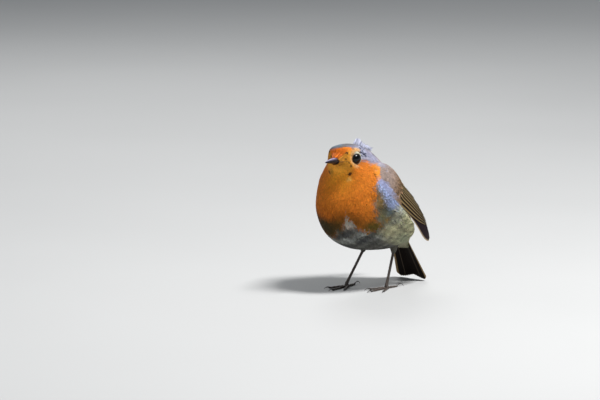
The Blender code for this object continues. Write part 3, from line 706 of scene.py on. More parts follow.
def lay_tufts(surface, t, a, length, width, root, tip, sway, columns=5, rows=4, fray=0.3,
              point=0.6, hollow=0.08, soft=0.8):
    """Vanes on a surface, one for each place t, a. Rows run along the lie, closer near the
    tip, and columns across it: the surface is read at each, turned from the lie by sway.
    The depth falls from the root's to the tip's as the length still to go to the power 1.7,
    so each tip lies over the next tuft's root, and is a little more at the edges. The tip
    is cut to a zig-zag, and one more column closes the underside. Gives the points as
    (tuft, row, column), the normals that a soft coat is shaded by, mostly the body's own,
    and u and v of each."""
    step = 1e-3
    here = surface(t, a, root)
    by_t = np.linalg.norm(surface(t + step, a, root) - here, axis=-1) / step
    by_a = np.maximum(np.linalg.norm(surface(t, a + step, root) - here, axis=-1) / step, 1.0)
    count = len(t)
    u = (1 - (1 - np.linspace(0, 1, rows)) ** 1.5)[None, :, None]
    v = np.append(np.linspace(-1, 1, columns), 0.0)[None, None]
    under = np.append(np.zeros(columns), 1.0)[None, None]
    notch = fray * chance.random((count, 1, columns + 1))
    notch[:, :, 1:-1:2] *= 0.25
    notch[:, :, -1] = fray
    length, width, root, tip, sway, by_t, by_a = (
        np.broadcast_to(x, count)[:, None, None]
        for x in (length, width, root, tip, sway, by_t, by_a))
    share = u * (1 - notch * u) * (1 - 0.10 * v**2 * u)
    along = length * share
    aside = 0.5 * width * tuft_outline(u, point) * v
    at_t = t[:, None, None] + (along * np.cos(sway) - aside * np.sin(sway)) / by_t
    at_a = a[:, None, None] + (along * np.sin(sway) + aside * np.cos(sway)) / by_a
    fall = (1 - share) ** 1.7
    depth = (tip + (root - tip) * fall + hollow * v**2 * width * 0.5
             + under * (0.06 + 0.2 * (1 - u)))
    points = surface(at_t, at_a, depth)
    mid_t, mid_a = at_t[:, :, columns // 2], at_a[:, :, columns // 2]
    flat = surface(mid_t, mid_a, 0.3)
    normal = unit(np.cross(surface(mid_t, mid_a + 0.01, 0.3) - flat,
                           surface(mid_t + 0.01, mid_a, 0.3) - flat))
    outward = surface(mid_t, mid_a, 0.0) - flat
    normal *= np.sign(np.sum(normal * outward, axis=-1, keepdims=True))
    top = points[:, :, :columns]
    own = unit(np.cross(np.gradient(top, axis=2), np.gradient(top, axis=1)))
    own *= np.sign(np.sum(own * normal[:, :, None], axis=-1, keepdims=True))
    shaded = unit(soft * normal[:, :, None] + (1 - soft) * own)
    ahead = unit(np.gradient(points[:, :, columns // 2], axis=1))
    shade = np.concatenate([shaded, unit(normal + 0.5 * ahead)[:, :, None]], axis=2)
    return points, shade, np.broadcast_to(u, points.shape[:3]), np.broadcast_to(v, points.shape[:3])


def tuft_colours(tone, u, dark_root=0.5, streak=0.10):
    """A tuft's colour: dimmer down at its root, and streaked along its barbs."""
    count, _, columns = u.shape
    barb = 1 + streak * (2 * chance.random((count, 1, columns)) - 1)
    value = (dark_root + (1 - dark_root) * smooth_step(u, 0.05, 0.7)) * barb
    value = value * (1 + 0.08 * (2 * chance.random((count, 1, 1)) - 1))
    return tone[:, None, None, :] * value[..., None]


def sew(name, batches, material, mirror=False):
    """One mesh from batches of tufts. A batch is points, normals, colours, OFBake places
    and barb places, each as (tuft, row, column). Rings of columns are joined along the
    rows, and the first and last rings are closed by faces from their upper to their lower
    side."""
    points, normals, colours, bakes, barbs, corners, sizes = [], [], [], [], [], [], []
    base = 0
    for place, normal, colour, bake, barb in batches:
        count, rows, around = place.shape[:3]
        if not count:
            continue
        faces = grid_faces(rows, around)
        if around < 9:      # a tuft, with one column below
            j = np.arange(around - 2)
            cap = np.stack([j, j + 1, np.full_like(j, around - 1)], axis=-1)
        else:               # a quill, with as many columns below as above
            j = np.arange(around // 2 - 1)
            cap = np.stack([j, j + 1, around - 2 - j, around - 1 - j], axis=-1)
        ends = np.concatenate([cap[:, ::-1], cap + (rows - 1) * around])
        down, over = place[:, 2, 0] - place[:, 1, 0], place[:, 1, 1] - place[:, 1, 0]
        if np.sum(unit(np.cross(down, over)) * normal[:, 1, 0]) > 0:
            faces, ends = faces[:, ::-1], ends[:, ::-1]
        if mirror:
            faces, ends = faces[:, ::-1], ends[:, ::-1]
            place, normal = place * (1, -1, 1), normal * (1, -1, 1)
        one = np.concatenate([faces.ravel(), ends.ravel()])
        corners.append((one[None] + base + np.arange(count)[:, None] * rows * around).ravel())
        sizes.append(np.tile(np.repeat([4, ends.shape[1]], [len(faces), len(ends)]), count))
        for kept, values in ((points, place), (normals, normal), (colours, colour),
                             (bakes, bake), (barbs, barb)):
            kept.append(values.reshape(-1, values.shape[-1]))
        base += count * rows * around
    corners, sizes = np.concatenate(corners), np.concatenate(sizes)
    mesh = bpy.data.meshes.new(name)
    mesh.vertices.add(base)
    mesh.vertices.foreach_set("co", ((np.concatenate(points) + (AHEAD, 0, 0)) * MM).ravel())
    mesh.loops.add(len(corners))
    mesh.loops.foreach_set("vertex_index", corners)
    mesh.polygons.add(len(sizes))
    mesh.polygons.foreach_set("loop_start", np.concatenate([[0], np.cumsum(sizes)[:-1]]))
    mesh.update(calc_edges=True)
    mesh.shade_smooth()
    paint(mesh, np.concatenate(colours))
    for layer, values in (("OFBake", bakes), ("barbs", barbs)):
        placed = np.concatenate(values)[corners].ravel()
        mesh.uv_layers.new(name=layer).data.foreach_set("uv", placed)
    mesh.normals_split_custom_set_from_vertices(np.concatenate(normals).tolist())
    mesh.materials.append(material)
    made = put(name, mesh)
    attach(made, "root")
    return made


def bake_place(t, a, u, v):
    """Each tuft's patch, 0.003 across, at its root's place on the skin's own unwrap."""
    across = ((a / (2 * np.pi)) % 1.0)[:, None, None] * 0.98 + 0.01 + 0.0015 * v
    along = np.clip(t / 12.0, 0, 1)[:, None, None] * 0.97 + 0.01 + 0.0015 * (2 * u - 1)
    return np.stack(np.broadcast_arrays(across, along), axis=-1)


def barb_place(u, v, width, length):
    """Millimetres across and along each vane, every vane moved on to a part of its own."""
    own = 7.3 * np.arange(len(u))[:, None, None] % 97
    width, length = (np.broadcast_to(x, len(u))[:, None, None] for x in (width, length))
    return np.stack(np.broadcast_arrays(v * width * 0.5 + own, u * length), axis=-1)


def batch_of(tufts, tone, t, a, width, length, dark_root=0.5, streak=0.10, gain=1.0):
    """Tufts rooted at t, a with their colours, times gain, as a batch for sewing."""
    points, normals, u, v = tufts
    colours = np.clip(tuft_colours(tone, u, dark_root, streak) * gain, 0, 1)
    return [points, normals, colours, bake_place(t, a, u, v), barb_place(u, v, width, length)]


def streaks(tree, place, scale):
    """Noise at a place drawn out by a scale for each axis."""
    drawn = node(tree, "ShaderNodeMapping", {"Vector": place, "Scale": scale}).outputs[0]
    return node(tree, "ShaderNodeTexNoise",
                {"Vector": drawn, "Scale": 1.0, "Detail": 2.0}).outputs["Fac"]


def barb_look(tree):
    """The feather's paint, streaked along its barbs by noise drawn out along the vane."""
    place = node(tree, "ShaderNodeUVMap", uv_map="barbs").outputs[0]
    barbs = streaks(tree, place, (6.0, 0.7, 1.0))
    return worn_paint(tree, barbs, (0.78, 1.22), (0.3, 0.7)), barbs, 0.00010


def pace(t, angle=80.0, step=0.05):
    """Millimetres of surface that one section number spans at t, on a line at an angle."""
    angle = np.radians(angle)
    there, here = body_surface(t + step, angle), body_surface(t - step, angle)
    return np.linalg.norm(there - here, axis=-1) / (2 * step)


def tract(t_range, scale, offset=0.0):
    """Places in staggered rows: rows a spacing apart along the flank, and a spacing apart
    round each row's ring by arc length, each moved a little by chance. Where the sections
    crowd together, as on the throat, places are thinned to keep the same spacing."""
    def spacing(t):
        """Spacing in millimetres at section t, closest on the face."""
        return scale * np.interp(t, *TUFT_SPACE)

    line = np.linspace(*t_range, 600)
    run = np.concatenate([[0], np.cumsum(pace(line[1:]) * np.diff(line) / spacing(line[1:]))])
    ring_a = np.linspace(0, 2 * np.pi, 241)
    made = []
    for k, row in enumerate(np.interp(np.arange(0.5 + offset, run[-1]), run, line)):
        ring = np.linalg.norm(np.diff(body_surface(row, ring_a), axis=0), axis=1)
        girth = np.concatenate([[0], np.cumsum(ring)])
        count = max(int(girth[-1] / spacing(row)), 5)
        spots = (np.arange(count) + 0.5 * (k % 2) + 0.30 * scatter(count)) / count % 1.0
        angles = np.interp(spots * girth[-1], girth, ring_a)
        made.append(np.stack([np.full(count, row), angles], axis=-1))
    t, a = np.concatenate(made).T
    t = (t + 0.30 * scatter(len(t)) * spacing(t) / pace(t)).clip(*t_range)
    keep = chance.random(len(t)) < pace(t, np.degrees(a)) / pace(t) * 1.15
    return t[keep], a[keep]


def clear_of_eyes(points):
    """True for tufts whose every point stays outside the lids."""
    clear = np.ones(len(points), dtype=bool)
    for sign in (1, -1):
        centre, aim, _, _ = eye_frame(sign)
        off = points - centre
        near = np.linalg.norm(off - (off @ aim)[..., None] * aim, axis=-1)
        clear &= ~((near < LID_CLEAR) & (off @ aim > -1.0)).any(axis=(1, 2))
    return clear


def tuft_length(t, side):
    """Length of a body feather: 1.5 mm at the bill, 8 mm on the flank, short at the tail."""
    fluffed = smooth_step(side, 60, 100) * smooth_step(t, 6.5, 8)
    return np.interp(t, *TUFT_LENGTH) * (1 + 0.15 * fluffed)


def lie(t, a):
    """How far the feathers turn from the body's own line, in broad soft waves."""
    return 0.16 * np.sin(3 * a + 2.1 * t) * np.sin(1.7 * t + a) + 0.08 * np.sin(9 * a - 4.0 * t)


def swell(t, a):
    """How far the flank's fluffed feathers stand out to lap the wing's lower edge: most
    just below it, and dying away under the wing and towards the belly."""
    below = from_back(a) - np.interp(t, *WING_LINE)
    return np.interp(t, *SWELL) * smooth_step(below, -6, 3) * smooth_step(28 - below, 0, 24)


def coat_surface(t, a, depth=0.0):
    """The tips of the coat: the body's surface with the flank's swell added."""
    return body_surface(t, a, depth - swell(t, a))


def body_tufts(t, a, columns, wide, fray, point, lift, dark_root=0.7, streak=0.10, longer=1.0):
    """A batch of tufts at places t, a, with its region numbers for parting into pieces.
    lift is the least and the most depth of their tips, in parts of the coat's depth."""
    count = len(t)
    length = longer * tuft_length(t, from_back(a)) * (0.9 + 0.2 * chance.random(count))
    width = length * wide * (0.85 + 0.3 * chance.random(count)) * (1 + 0.13 * swell(t, a))
    root = coat_depth(t) + 0.1 + swell(t, a)
    tip = (lift[0] + (lift[1] - lift[0]) * chance.random(count)) * np.clip(coat_depth(t), 0.5, 3)
    sway = lie(t, a) + 0.08 * chance.standard_normal(count)
    tufts = lay_tufts(coat_surface, t, a, length, width, root, tip, sway,
                      columns=columns, fray=fray, point=point)
    tips_at = t + 0.8 * length / np.maximum(pace(t, np.degrees(a)), 1.0)
    tone = plumage(tips_at, a, 0.8 * scatter(count))
    tone = tone * (1 + 0.10 * scatter((count, 1), 1.6))
    tone = tone * (1 + 0.03 * scatter((count, 3)))
    clear = clear_of_eyes(tufts[0])
    batch = batch_of(tufts, tone, t, a, width, length, dark_root, streak)
    region = 2 * np.searchsorted(REGION_ENDS, t) + (a % (2 * np.pi) > np.pi)
    return [part[clear] for part in batch], region[clear]


feather_material = finish("body_feathers", barb_look, (0.62, 0.85), Sheen_Weight=0.02,
                          Sheen_Roughness=0.6, Specular_IOR_Level=0.12)
vanes = body_tufts(*tract((0.0, 11.0), 0.975), 5, 0.43, 0.34, 0.65, (0.06, 0.09))
locks = body_tufts(*tract((0.05, 10.9), 0.705, 0.4), 2, 0.085, 0.15, 0.85, (0.0, 0.06),
                   dark_root=0.8, streak=0.14, longer=0.85)
for number, region in enumerate(REGIONS):
    for half, side in enumerate(("left", "right")):
        batches = [[part[numbers == 2 * number + half] for part in batch]
                   for batch, numbers in (vanes, locks)]
        sew(f"coat_{region}_{side}", batches, feather_material)

# Thigh feathers. Short soft grey-brown feathers wrap each thigh like a stocking, and end
# close above the bare shank.
thigh_batches = []
for leg in LEGS.values():
    count = 420
    w = 0.05 + 0.75 * chance.random(count)
    a = 2 * np.pi * chance.random(count)
    length = 2.4 + 0.9 * chance.random(count)
    limb = thigh_surface(leg)
    tufts = lay_tufts(limb, w, a, length, 0.4 * length, 0.9 - 0.6 * w, 0.05,
                      0.15 * chance.standard_normal(count))
    tone = np.array((0.085, 0.080, 0.065)) * (0.8 + 0.4 * chance.random((count, 1)))
    thigh_batches.append(batch_of(tufts, tone, *place_on_skin(limb(w, a)).T, 1.2, length))
sew("coat_thighs", thigh_batches, feather_material)

# Crest. A few feathers at the back of the crown stand up to a soft point, ruffled, pale
# and bluish, and sink to a low ragged ridge down the nape, with darker ones among them.
# More of them stand ruffled behind the near eye, part of them parted and dark.
CREST_LINE = np.array(((15.4, 2.4, 90.6), (11.5, 3.8, 88.8), (6.0, 5.2, 86.4)))
CREST_TALL, CREST_LOW = np.array((-3.0, 0.7, 4.8)), np.array((-4.0, 1.2, 1.5))
CREST_FACE, CREST_SINK = (0.75, 0.4, 0.5), (0, 0, 1.0)
HEAD_MIDDLE = turned(np.array((8.0, 0.0, 80.0)))


def loose_tufts(root, tip, width, face, columns=3, rows=5, bow=0.0, point=0.92):
    """Vanes that stand free: straight from root to tip, bowed out along face by bow, thin
    and pointed. They are shaded as if they faced halfway upwards, front and back."""
    count = len(root)
    u = np.linspace(0, 1, rows)[None, :, None, None]
    v = np.append(np.linspace(-1, 1, columns), 0.0)[None, None, :, None]
    under = np.append(np.zeros(columns), 1.0)[None, None, :, None]
    along = tip - root
    across = unit(np.cross(along, face))
    face = unit(np.cross(across, along))
    notch = 0.12 * chance.random((count, 1, columns + 1, 1))
    notch[:, :, -1] = 0.12
    half = 0.5 * width[:, None, None, None]
    rise = 4 * bow * u * (1 - u) - 0.2 * half * v**2 - under * 0.12 * (1 - 0.7 * u)
    points = (root[:, None, None] + along[:, None, None] * u * (1 - notch * u)
              + across[:, None, None] * (half * tuft_outline(u, point) * v)
              + face[:, None, None] * rise)
    normals = unit(face[:, None, None] * (1 - 1.5 * under) + (0, 0, 0.7) + 0 * points)
    return points, normals, *(np.broadcast_to(x[..., 0], points.shape[:3]) for x in (u, v))


count = 480
q = np.sort(chance.random(count)) ** 1.4
base = np.stack([np.interp(q, (0, 0.4, 1), CREST_LINE[:, k]) for k in range(3)], axis=-1)
base = base + scatter((count, 3)) * (0.7, 1.1, 0.25) - CREST_SINK
tall = np.exp(-((q / 0.13) ** 2))[:, None]
rise = CREST_LOW + (CREST_TALL - CREST_LOW) * (tall + 0.35 * (1 - tall) * (1 - q[:, None]))
middle = CREST_LINE[0] + CREST_TALL
rise = rise * (0.62 + 0.45 * chance.random((count, 1))) + scatter((count, 3)) * 0.35
end = base + CREST_SINK + rise
end = end + (middle - end) * 0.55 * tall * (0.4 + 0.6 * chance.random((count, 1)))
base, end = turned(base), turned(end)
width = 0.28 + 0.34 * chance.random(count)
tufts = loose_tufts(base, end, width, np.broadcast_to(CREST_FACE, base.shape), bow=0.25)
tone = np.where(chance.random((count, 1)) < 0.16, (0.07, 0.07, 0.11), (0.33, 0.34, 0.43))
tone = tone * (0.75 + 0.5 * chance.random((count, 1)))
crest = batch_of(tufts, tone, *place_on_skin(base).T, width, 4.0, 0.6,
                 gain=1 + 0.5 * tufts[2][..., None] ** 2)
count = 80                  # the ruffled ones behind the eye
t, side = 2.72 + 0.34 * chance.random(count), 29 + 28 * chance.random(count)
base = body_surface(t, np.radians(side), 0.5)
end = body_surface(t + 0.16 + 0.12 * chance.random(count),
                   np.radians(side + 7 * chance.standard_normal(count)),
                   -0.2 - 0.4 * chance.random(count))
width = 0.4 + 0.4 * chance.random(count)
tufts = loose_tufts(base, end, width, unit(base - HEAD_MIDDLE), bow=0.3)
tone = np.where(chance.random((count, 1)) < 0.45, (0.06, 0.065, 0.11), (0.34, 0.345, 0.45))
ruffled = batch_of(tufts, tone, t, np.radians(side), width, 2.0, 0.7)
sew("coat_crest", [crest, ruffled], feather_material)

# Bill's root. Short stiff feathers lean forward round the root of the bill and lie on its
# horn, longest over the ridge and under the chin.
BRISTLE_START = 31.0        # how far ahead they leave the face
count = 300
t, a = 0.05 + 0.45 * chance.random(count), 2 * np.pi * chance.random(count)
reach = (2.2 + 1.5 * np.cos(a) ** 2) * (0.7 + 0.5 * chance.random(count))
base = body_surface(t, a, 0.35)
s = (BRISTLE_START - BILL_ROOT[0] + reach) / (BILL_TIP[0] - BILL_ROOT[0])
end = BILL_ROOT + (BILL_TIP - BILL_ROOT) * s[:, None]
end[:, 1] += np.sin(a) * (0.5 * BILL_WIDTH * bill_size(s) + 0.15)
end[:, 2] += np.cos(a) * (0.5 * (BILL_RISE + BILL_DROP) * bill_size(s) + 0.25)
face = np.stack([0 * a, np.sin(a), np.cos(a)], axis=-1)
width = 0.25 + 0.45 * chance.random(count)
points, normals, u, v = loose_tufts(base, turned(end), width, face, bow=0.12)
normals = unit(face[:, None, None] + 0.3 * normals)
tone = plumage(t + 0.2, a) * (0.35 + 0.7 * chance.random((count, 1)))
bristles = batch_of((points, normals, u, v), tone, *place_on_skin(base).T, width, 2.0, 0.9)
sew("coat_bill_root", [bristles], feather_material)

# Eye-ring. Two rounds of tiny pale buff feathers radiate from each lid's edge and lean
# back, and blend the bare lid into the coat.
EYE_RING_BASE = 3.85
EYE_RING = ((56, 80, 90, 4.35), (66, 92, 110, 4.6))     # angles from, to, count, distance
RING_RUST, RING_BUFF = np.array((0.42, 0.20, 0.06)), np.array((0.50, 0.48, 0.36))
rings_of = []
for sign in (1, -1):
    centre, aim, ahead, above = eye_frame(sign)
    for start, stop, count, out in EYE_RING:
        phi = circle(count) + 0.02 * chance.standard_normal(count)
        radial = np.cos(phi)[:, None] * ahead + np.sin(phi)[:, None] * above
        swept = unit(radial - 0.35 * ahead)
        low, high = np.radians(start), np.radians(stop)
        base = centre + EYE_RING_BASE * (np.cos(low) * aim + np.sin(low) * radial)
        reach = out + 0.2 * chance.random((count, 1))
        end = centre + reach * (np.cos(high) * aim + np.sin(high) * swept)
        tufts = loose_tufts(base, end, 0.45 + 0.2 * chance.random(count),
                            np.broadcast_to(aim, base.shape), rows=3, point=0.8)
        tone = RING_RUST + (RING_BUFF - RING_RUST) * paler_behind(phi)[:, None]
        tone = tone * (0.8 + 0.3 * chance.random((count, 1)))
        rings_of.append(batch_of(tufts, tone, *place_on_skin(base).T, 0.5, 1.0, 0.7))
sew("coat_eye_rings", rings_of, feather_material)

# Folded wings. Flight feathers lie stacked under rows of coverts, each a stiff vane on a
# shaft, and the scapulars lap over the top. The whole lies closed against the body.
WING_WRIST, WING_TIP = np.array((12.0, 18.5, 76.5)), np.array((-40.8, 17.4, 29.0))
WING_BULGE, WING_LEAN, WING_ABOVE, WING_BELOW = 6.0, 40.0, 12.6, 10.0
WING_THICK, WING_EDGE, WING_BOW, WING_GAP, WING_LENGTH = 3.4, 0.6, 21.0, 0.45, 71.0
WING_ROWS, WING_COLUMNS = 49, 25
BODY_MIDDLE = np.array((-5.0, 0.0, 55.0))
SHAFT = -0.35               # the shaft's place across a vane, from outer edge -1 to inner 1
VANE_COLUMNS = np.array((-1.0, -0.86, -0.66, -0.43, SHAFT, -0.27, 0.0, 0.4, 0.75, 1.0))
seat_rings = body_surface(np.linspace(2.5, 11.0, 52)[:, None], circle(72)[None])
body_seat = BVHTree.FromPolygons(seat_rings.reshape(-1, 3).tolist(), grid_faces(52, 72).tolist())


def clear_of_body(sheet, clear):
    """A sheet of points with each moved out, where it must, to lie clear of the body."""
    flat, want = sheet.reshape(-1, 3).copy(), clear.ravel()
    for k, point in enumerate(flat):
        near, normal = (np.array(found) for found in body_seat.find_nearest(point)[:2])
        if normal @ (near - BODY_MIDDLE) < 0:
            normal = -normal
        if (point - near) @ normal < want[k]:
            flat[k] = near + normal * want[k]
    return flat.reshape(sheet.shape)


def wing_sheets():
    """Outer and inner face of the left wing on a grid of s, wrist to tip, and r, lower edge
    -1 to upper edge 1: a line bulged by a sine, a chord bowed to a circle, a lens in
    thickness, and both pushed clear of the body. Also the outer face's normals, and half
    the wing's width at each s."""
    along = unit(WING_TIP - WING_WRIST)
    lean = np.radians(WING_LEAN)
    outward = np.array((0.0, np.cos(lean), np.sin(lean)))
    outward = unit(outward - along * (outward @ along))
    up = np.cross(outward, along)
    s = np.linspace(0, 1, WING_ROWS)[:, None]
    r = np.linspace(-1, 1, WING_COLUMNS)[None]
    opening = np.clip(s / 0.2, 0, 1)
    front = np.sqrt(1 - 0.93 * (1 - opening) ** 2)
    shoulder = np.sqrt(1 - 0.93 * (1 - np.clip(s / 0.42, 0, 1)) ** 2)
    above = WING_ABOVE * shoulder * (1 - 0.9 * smooth_step(s, 0.3, 1.05))
    below = WING_BELOW * front * np.sqrt(1 - 0.96 * np.clip((s - 0.78) / 0.22, 0, 1) ** 2)
    thick = WING_THICK * (0.3 + 0.7 * opening) * (1 - 0.72 * smooth_step(s, 0.2, 1.0))
    q = 0.5 * (above - below) + 0.5 * (above + below) * r
    lens = WING_EDGE + (thick - WING_EDGE) * np.sqrt(np.clip(1 - r**2, 0, 1)) ** 0.7
    line = (WING_WRIST + (WING_TIP - WING_WRIST) * s
            + outward * WING_BULGE * np.sin(np.pi * s) ** 0.8)
    bow = outward * (WING_BOW * (1 - np.cos(q / WING_BOW)))[..., None]
    middle = line[:, None] + up * q[..., None] - bow
    outer = clear_of_body(middle, WING_GAP + lens)
    inner = clear_of_body(middle - outward * lens[..., None], WING_GAP + 0 * lens)
    normal = unit(np.cross(np.gradient(outer, axis=0), np.gradient(outer, axis=1)))
    normal *= np.sign(np.sum(normal * outward, axis=-1, keepdims=True))
    return outer, inner, normal, 0.5 * (above + below)[:, 0]


wing_outer, wing_inner, wing_normal, wing_chord = wing_sheets()


def wing_surface(s, r, depth=0.0):
    """The wing's outer face read between its grid's points, less a depth along its normal."""
    s, r, depth = together(s, r, depth)
    x, y = s * (WING_ROWS - 1), (r + 1) * 0.5 * (WING_COLUMNS - 1)
    i = np.clip(np.floor(x), 0, WING_ROWS - 2).astype(int)
    j = np.clip(np.floor(y), 0, WING_COLUMNS - 2).astype(int)
    x, y = (x - i)[..., None], (y - j)[..., None]

    def read(grid):
        """A grid's value at x, y between four of its points, by the share of each."""
        return ((grid[i, j] * (1 - x) + grid[i + 1, j] * x) * (1 - y)
                + (grid[i, j + 1] * (1 - x) + grid[i + 1, j + 1] * x) * y)
    return read(wing_outer) - unit(read(wing_normal)) * depth[..., None]


def quill(surface, span, low, up, depth, tilt, rows=26, bend=3.0, thick=0.12, tip_round=0.16):
    """One stiff feather on a surface. It runs over span from root to tip, and its outer and
    inner edges go from their first place across to their last by u to the power bend. Near
    the tip both close as an ellipse. The inner edge lies deeper by tilt, under the next
    feather, the shaft is a ridge, and the same shape a little deeper closes the underside.
    Gives points, normals, and u and v of each."""
    u = np.linspace(0, 1, rows) ** 0.85
    v = VANE_COLUMNS
    s = span[0] + (span[1] - span[0]) * u
    outer = low[0] + (low[1] - low[0]) * u**bend
    inner = up[0] + (up[1] - up[0]) * u**bend
    point = outer + 0.42 * (inner - outer)
    ending = np.clip(u - (1 - tip_round), 0, 1) / tip_round
    close = np.sqrt(np.clip(1 - ending**2, 0.002, 1))
    outer, inner = point + (outer - point) * close, point + (inner - point) * close
    place = outer[:, None] + (inner - outer)[:, None] * (0.5 + 0.5 * v)
    ridge = 0.08 * np.exp(-((v - SHAFT) / 0.07) ** 2) * (1 - u)[:, None]
    level = (depth[0] + (depth[1] - depth[0]) * u)[:, None] + tilt * (0.5 + 0.5 * v)
    top = surface(s[:, None], place, level - ridge)
    back = surface(s[:, None], place, level + thick * (1 - 0.5 * u)[:, None])
    points = np.concatenate([top, back[:, ::-1]], axis=1)
    normal = unit(np.cross(np.gradient(top, axis=1), np.gradient(top, axis=0)))
    normal *= np.sign(np.sum(normal * (top - back), axis=-1, keepdims=True))
    normals = np.concatenate([normal, -normal[:, ::-1]], axis=1)
    across = np.broadcast_to(np.concatenate([v, v[::-1]]), points.shape[:2])
    return points, normals, np.broadcast_to(u[:, None], points.shape[:2]), across


def vane_colour(u, v, middle, outer, inner, tip, tip_at=0.95, edge_at=0.72):
    """Dark middle, an edging on the outer vane from edge_at out and another on the inner, a
    tip, and a shaft a little darker."""
    tone = lay(np.zeros(u.shape + (3,)) + middle,
               (outer, smooth_step(-v, edge_at, edge_at + 0.23)),
               (inner, smooth_step(v, 0.80, 1.0)), (tip, smooth_step(u, tip_at, 1.0)))
    return tone * (1 - 0.35 * np.exp(-((v - SHAFT) / 0.06) ** 2))[..., None]


def stiff_look(tree):
    """The flight feather's paint, with slanting barbs that run out from the shaft."""
    place = node(tree, "ShaderNodeUVMap", uv_map="barbs").outputs[0]
    split = node(tree, "ShaderNodeSeparateXYZ", {"Vector": place}).outputs
    away = node(tree, "ShaderNodeMath", {0: split["X"]}, operation="ABSOLUTE")
    slant = node(tree, "ShaderNodeMath", {0: away.outputs[0], 1: -1.3, 2: split["Y"]},
                 operation="MULTIPLY_ADD")
    along = node(tree, "ShaderNodeCombineXYZ", {"X": slant.outputs[0], "Y": split["X"]})
    barbs = streaks(tree, along.outputs[0], (5.0, 0.35, 1.0))
    return worn_paint(tree, barbs, (0.78, 1.2), (0.3, 0.7)), barbs, 0.00008


def stiff_part(made, tones, number, total, half, length):
    """A quill as a batch for sewing, with a strip of its own in the OFBake map."""
    points, normals, u, v = made
    strip = np.stack([(number + 0.5 + 0.42 * v) / total, 0.02 + 0.96 * u], axis=-1)
    barbs = np.stack([(v - SHAFT) * half, u * length + number * 3.7], axis=-1)
    colours = vane_colour(u, v, *tones)
    return [part[None] for part in (points, normals, colours, strip, barbs)]


stiff_material = finish("flight_feathers", stiff_look, (0.5, 0.7), Specular_IOR_Level=0.05)
QUILLS = []         # span, outer edge, inner edge, depth, tilt, tip, bend, tones, half width
for k in range(8):          # primaries, the longest and deepest first
    f = k / 7
    rim = (0.34, 0.26, 0.17) if k == 0 else (0.016, 0.009, 0.012)
    QUILLS.append(((0.10, 1.0 - 0.11 * f), (-1.0 + 0.21 * f, -1.0 + 1.9 * f),
                   (-0.5 + 0.2 * f, 1.0), (1.15 - 0.03 * k, 0.54 - 0.02 * k), 0.15,
                   0.05 if k < 3 else 0.12, 3.0,
                   ((0.009, 0.003, 0.006), rim, (0.30, 0.24, 0.14), rim, 0.97), 2.5))
for k in range(6):          # secondaries
    f = k / 5
    QUILLS.append(((0.12, 0.88 - 0.06 * f), (-1.0 + 1.0 * f, 0.88 + 0.06 * f),
                   (-0.4 + 1.1 * f, 1.0), (0.70 - 0.03 * k, 0.14 - 0.02 * k), 0.25,
                   0.14, 5.0 - 1.5 * f,
                   ((0.012, 0.007, 0.005), (0.30, 0.215, 0.095), (0.06, 0.04, 0.03),
                    (0.30, 0.22, 0.12), 0.95, 0.74), 2.6))
for k in range(3):          # tertials
    f = k / 2
    QUILLS.append(((0.14, 0.78 - 0.18 * f), (0.18 + 0.46 * f, 0.90 + 0.05 * f),
                   (0.75 + 0.25 * f, 1.02), (0.52 - 0.05 * k, 0.03 - 0.03 * k), 0.22,
                   0.18, 3.0,
                   ((0.045, 0.027, 0.012), (0.36, 0.26, 0.125), (0.27, 0.20, 0.095),
                    (0.34, 0.26, 0.14), 0.95, 0.72), 3.0))
wing_parts = []
for number, (span, low, up, depth, tilt, tip_round, bend, tones, half) in enumerate(QUILLS):
    made = quill(wing_surface, span, low, up, depth, tilt, tip_round=tip_round, bend=bend)
    wing_parts.append(stiff_part(made, tones, number, len(QUILLS), half, 45.0))

# Wing coverts and scapulars. Overlapping rows of small rounded feathers hide the roots of
# the flight feathers, and the feathers of nape and breast side lap over the wing's front.
WING_FRONT = ((0.0, 0.012, 0.028, 0.034, 0.05, 0.08, 0.131, 0.175, 0.229, 0.334, 0.5),
              (1.0, 0.83, 0.08, -0.5, -0.74, -0.69, -0.65, -0.77, -0.88, -1.0, -1.2))
FRINGES, BRIDGING = 300, 1300       # feathers over each long edge, and over front and below
BRIDGE_TURN = (0.0, 0.42, 0.52, 0.72, 1.0)      # stations round the wing's edge, from below,
BRIDGE_S, BRIDGE_R = (0.30, 0.02, 0.0, 0.0, 0.26), (-1.0, -1.0, -0.6, 0.8, 1.0)
BRIDGE_RISE = (-1.3, -1.1, -0.3, 0.4, 1.2)      # and how far up the feathers' roots lie there
FLESH = np.array((0.10, 0.075, 0.05))


def wing_tone(s, r):
    """Lavender brown at the shoulder and warm brown behind. In front of a slanting line lie
    the body's own feathers: nape above, the bib's bright lobe, and blue-grey below."""
    brown = lay(np.array((0.29, 0.22, 0.19)),
                ((0.215, 0.125, 0.062), smooth_step(s, 0.10, 0.30)),
                ((0.31, 0.29, 0.34), smooth_step(0.13 - s, 0.0, 0.08) * smooth_step(r, 0.3, 0.6)))
    paler = smooth_step(s, 0.08, 0.20)[:, None]
    blue = np.array((0.26, 0.28, 0.44)) + np.array((0.05, 0.06, 0.08)) * paler
    front = lay(blue, ((0.68, 0.24, 0.028), smooth_step(0.046 - s, -0.012, 0.012)),
                ((0.31, 0.30, 0.36), smooth_step(r, 0.40, 0.70)),
                ((0.42, 0.44, 0.42), smooth_step(s, 0.24, 0.36)))
    return lay(front, (brown, smooth_step(r - np.interp(s, *WING_FRONT), -0.12, 0.12)))


def covert_places(starts, r_range, space):
    """Staggered rows, one at each start along the wing, with their places a space apart in
    millimetres across it, each moved a little by chance."""
    made = []
    across = r_range[1] - r_range[0]
    for k, start in enumerate(starts):
        wide = across * np.interp(start, np.linspace(0, 1, len(wing_chord)), wing_chord)
        count = max(int(wide / space), 3)
        spots = (np.arange(count) + 0.5 * (k % 2) + 0.22 * scatter(count)) / count
        made.append(np.stack([start + 0.008 * scatter(count), r_range[0] + across * spots],
                             axis=-1))
    return np.concatenate(made).T


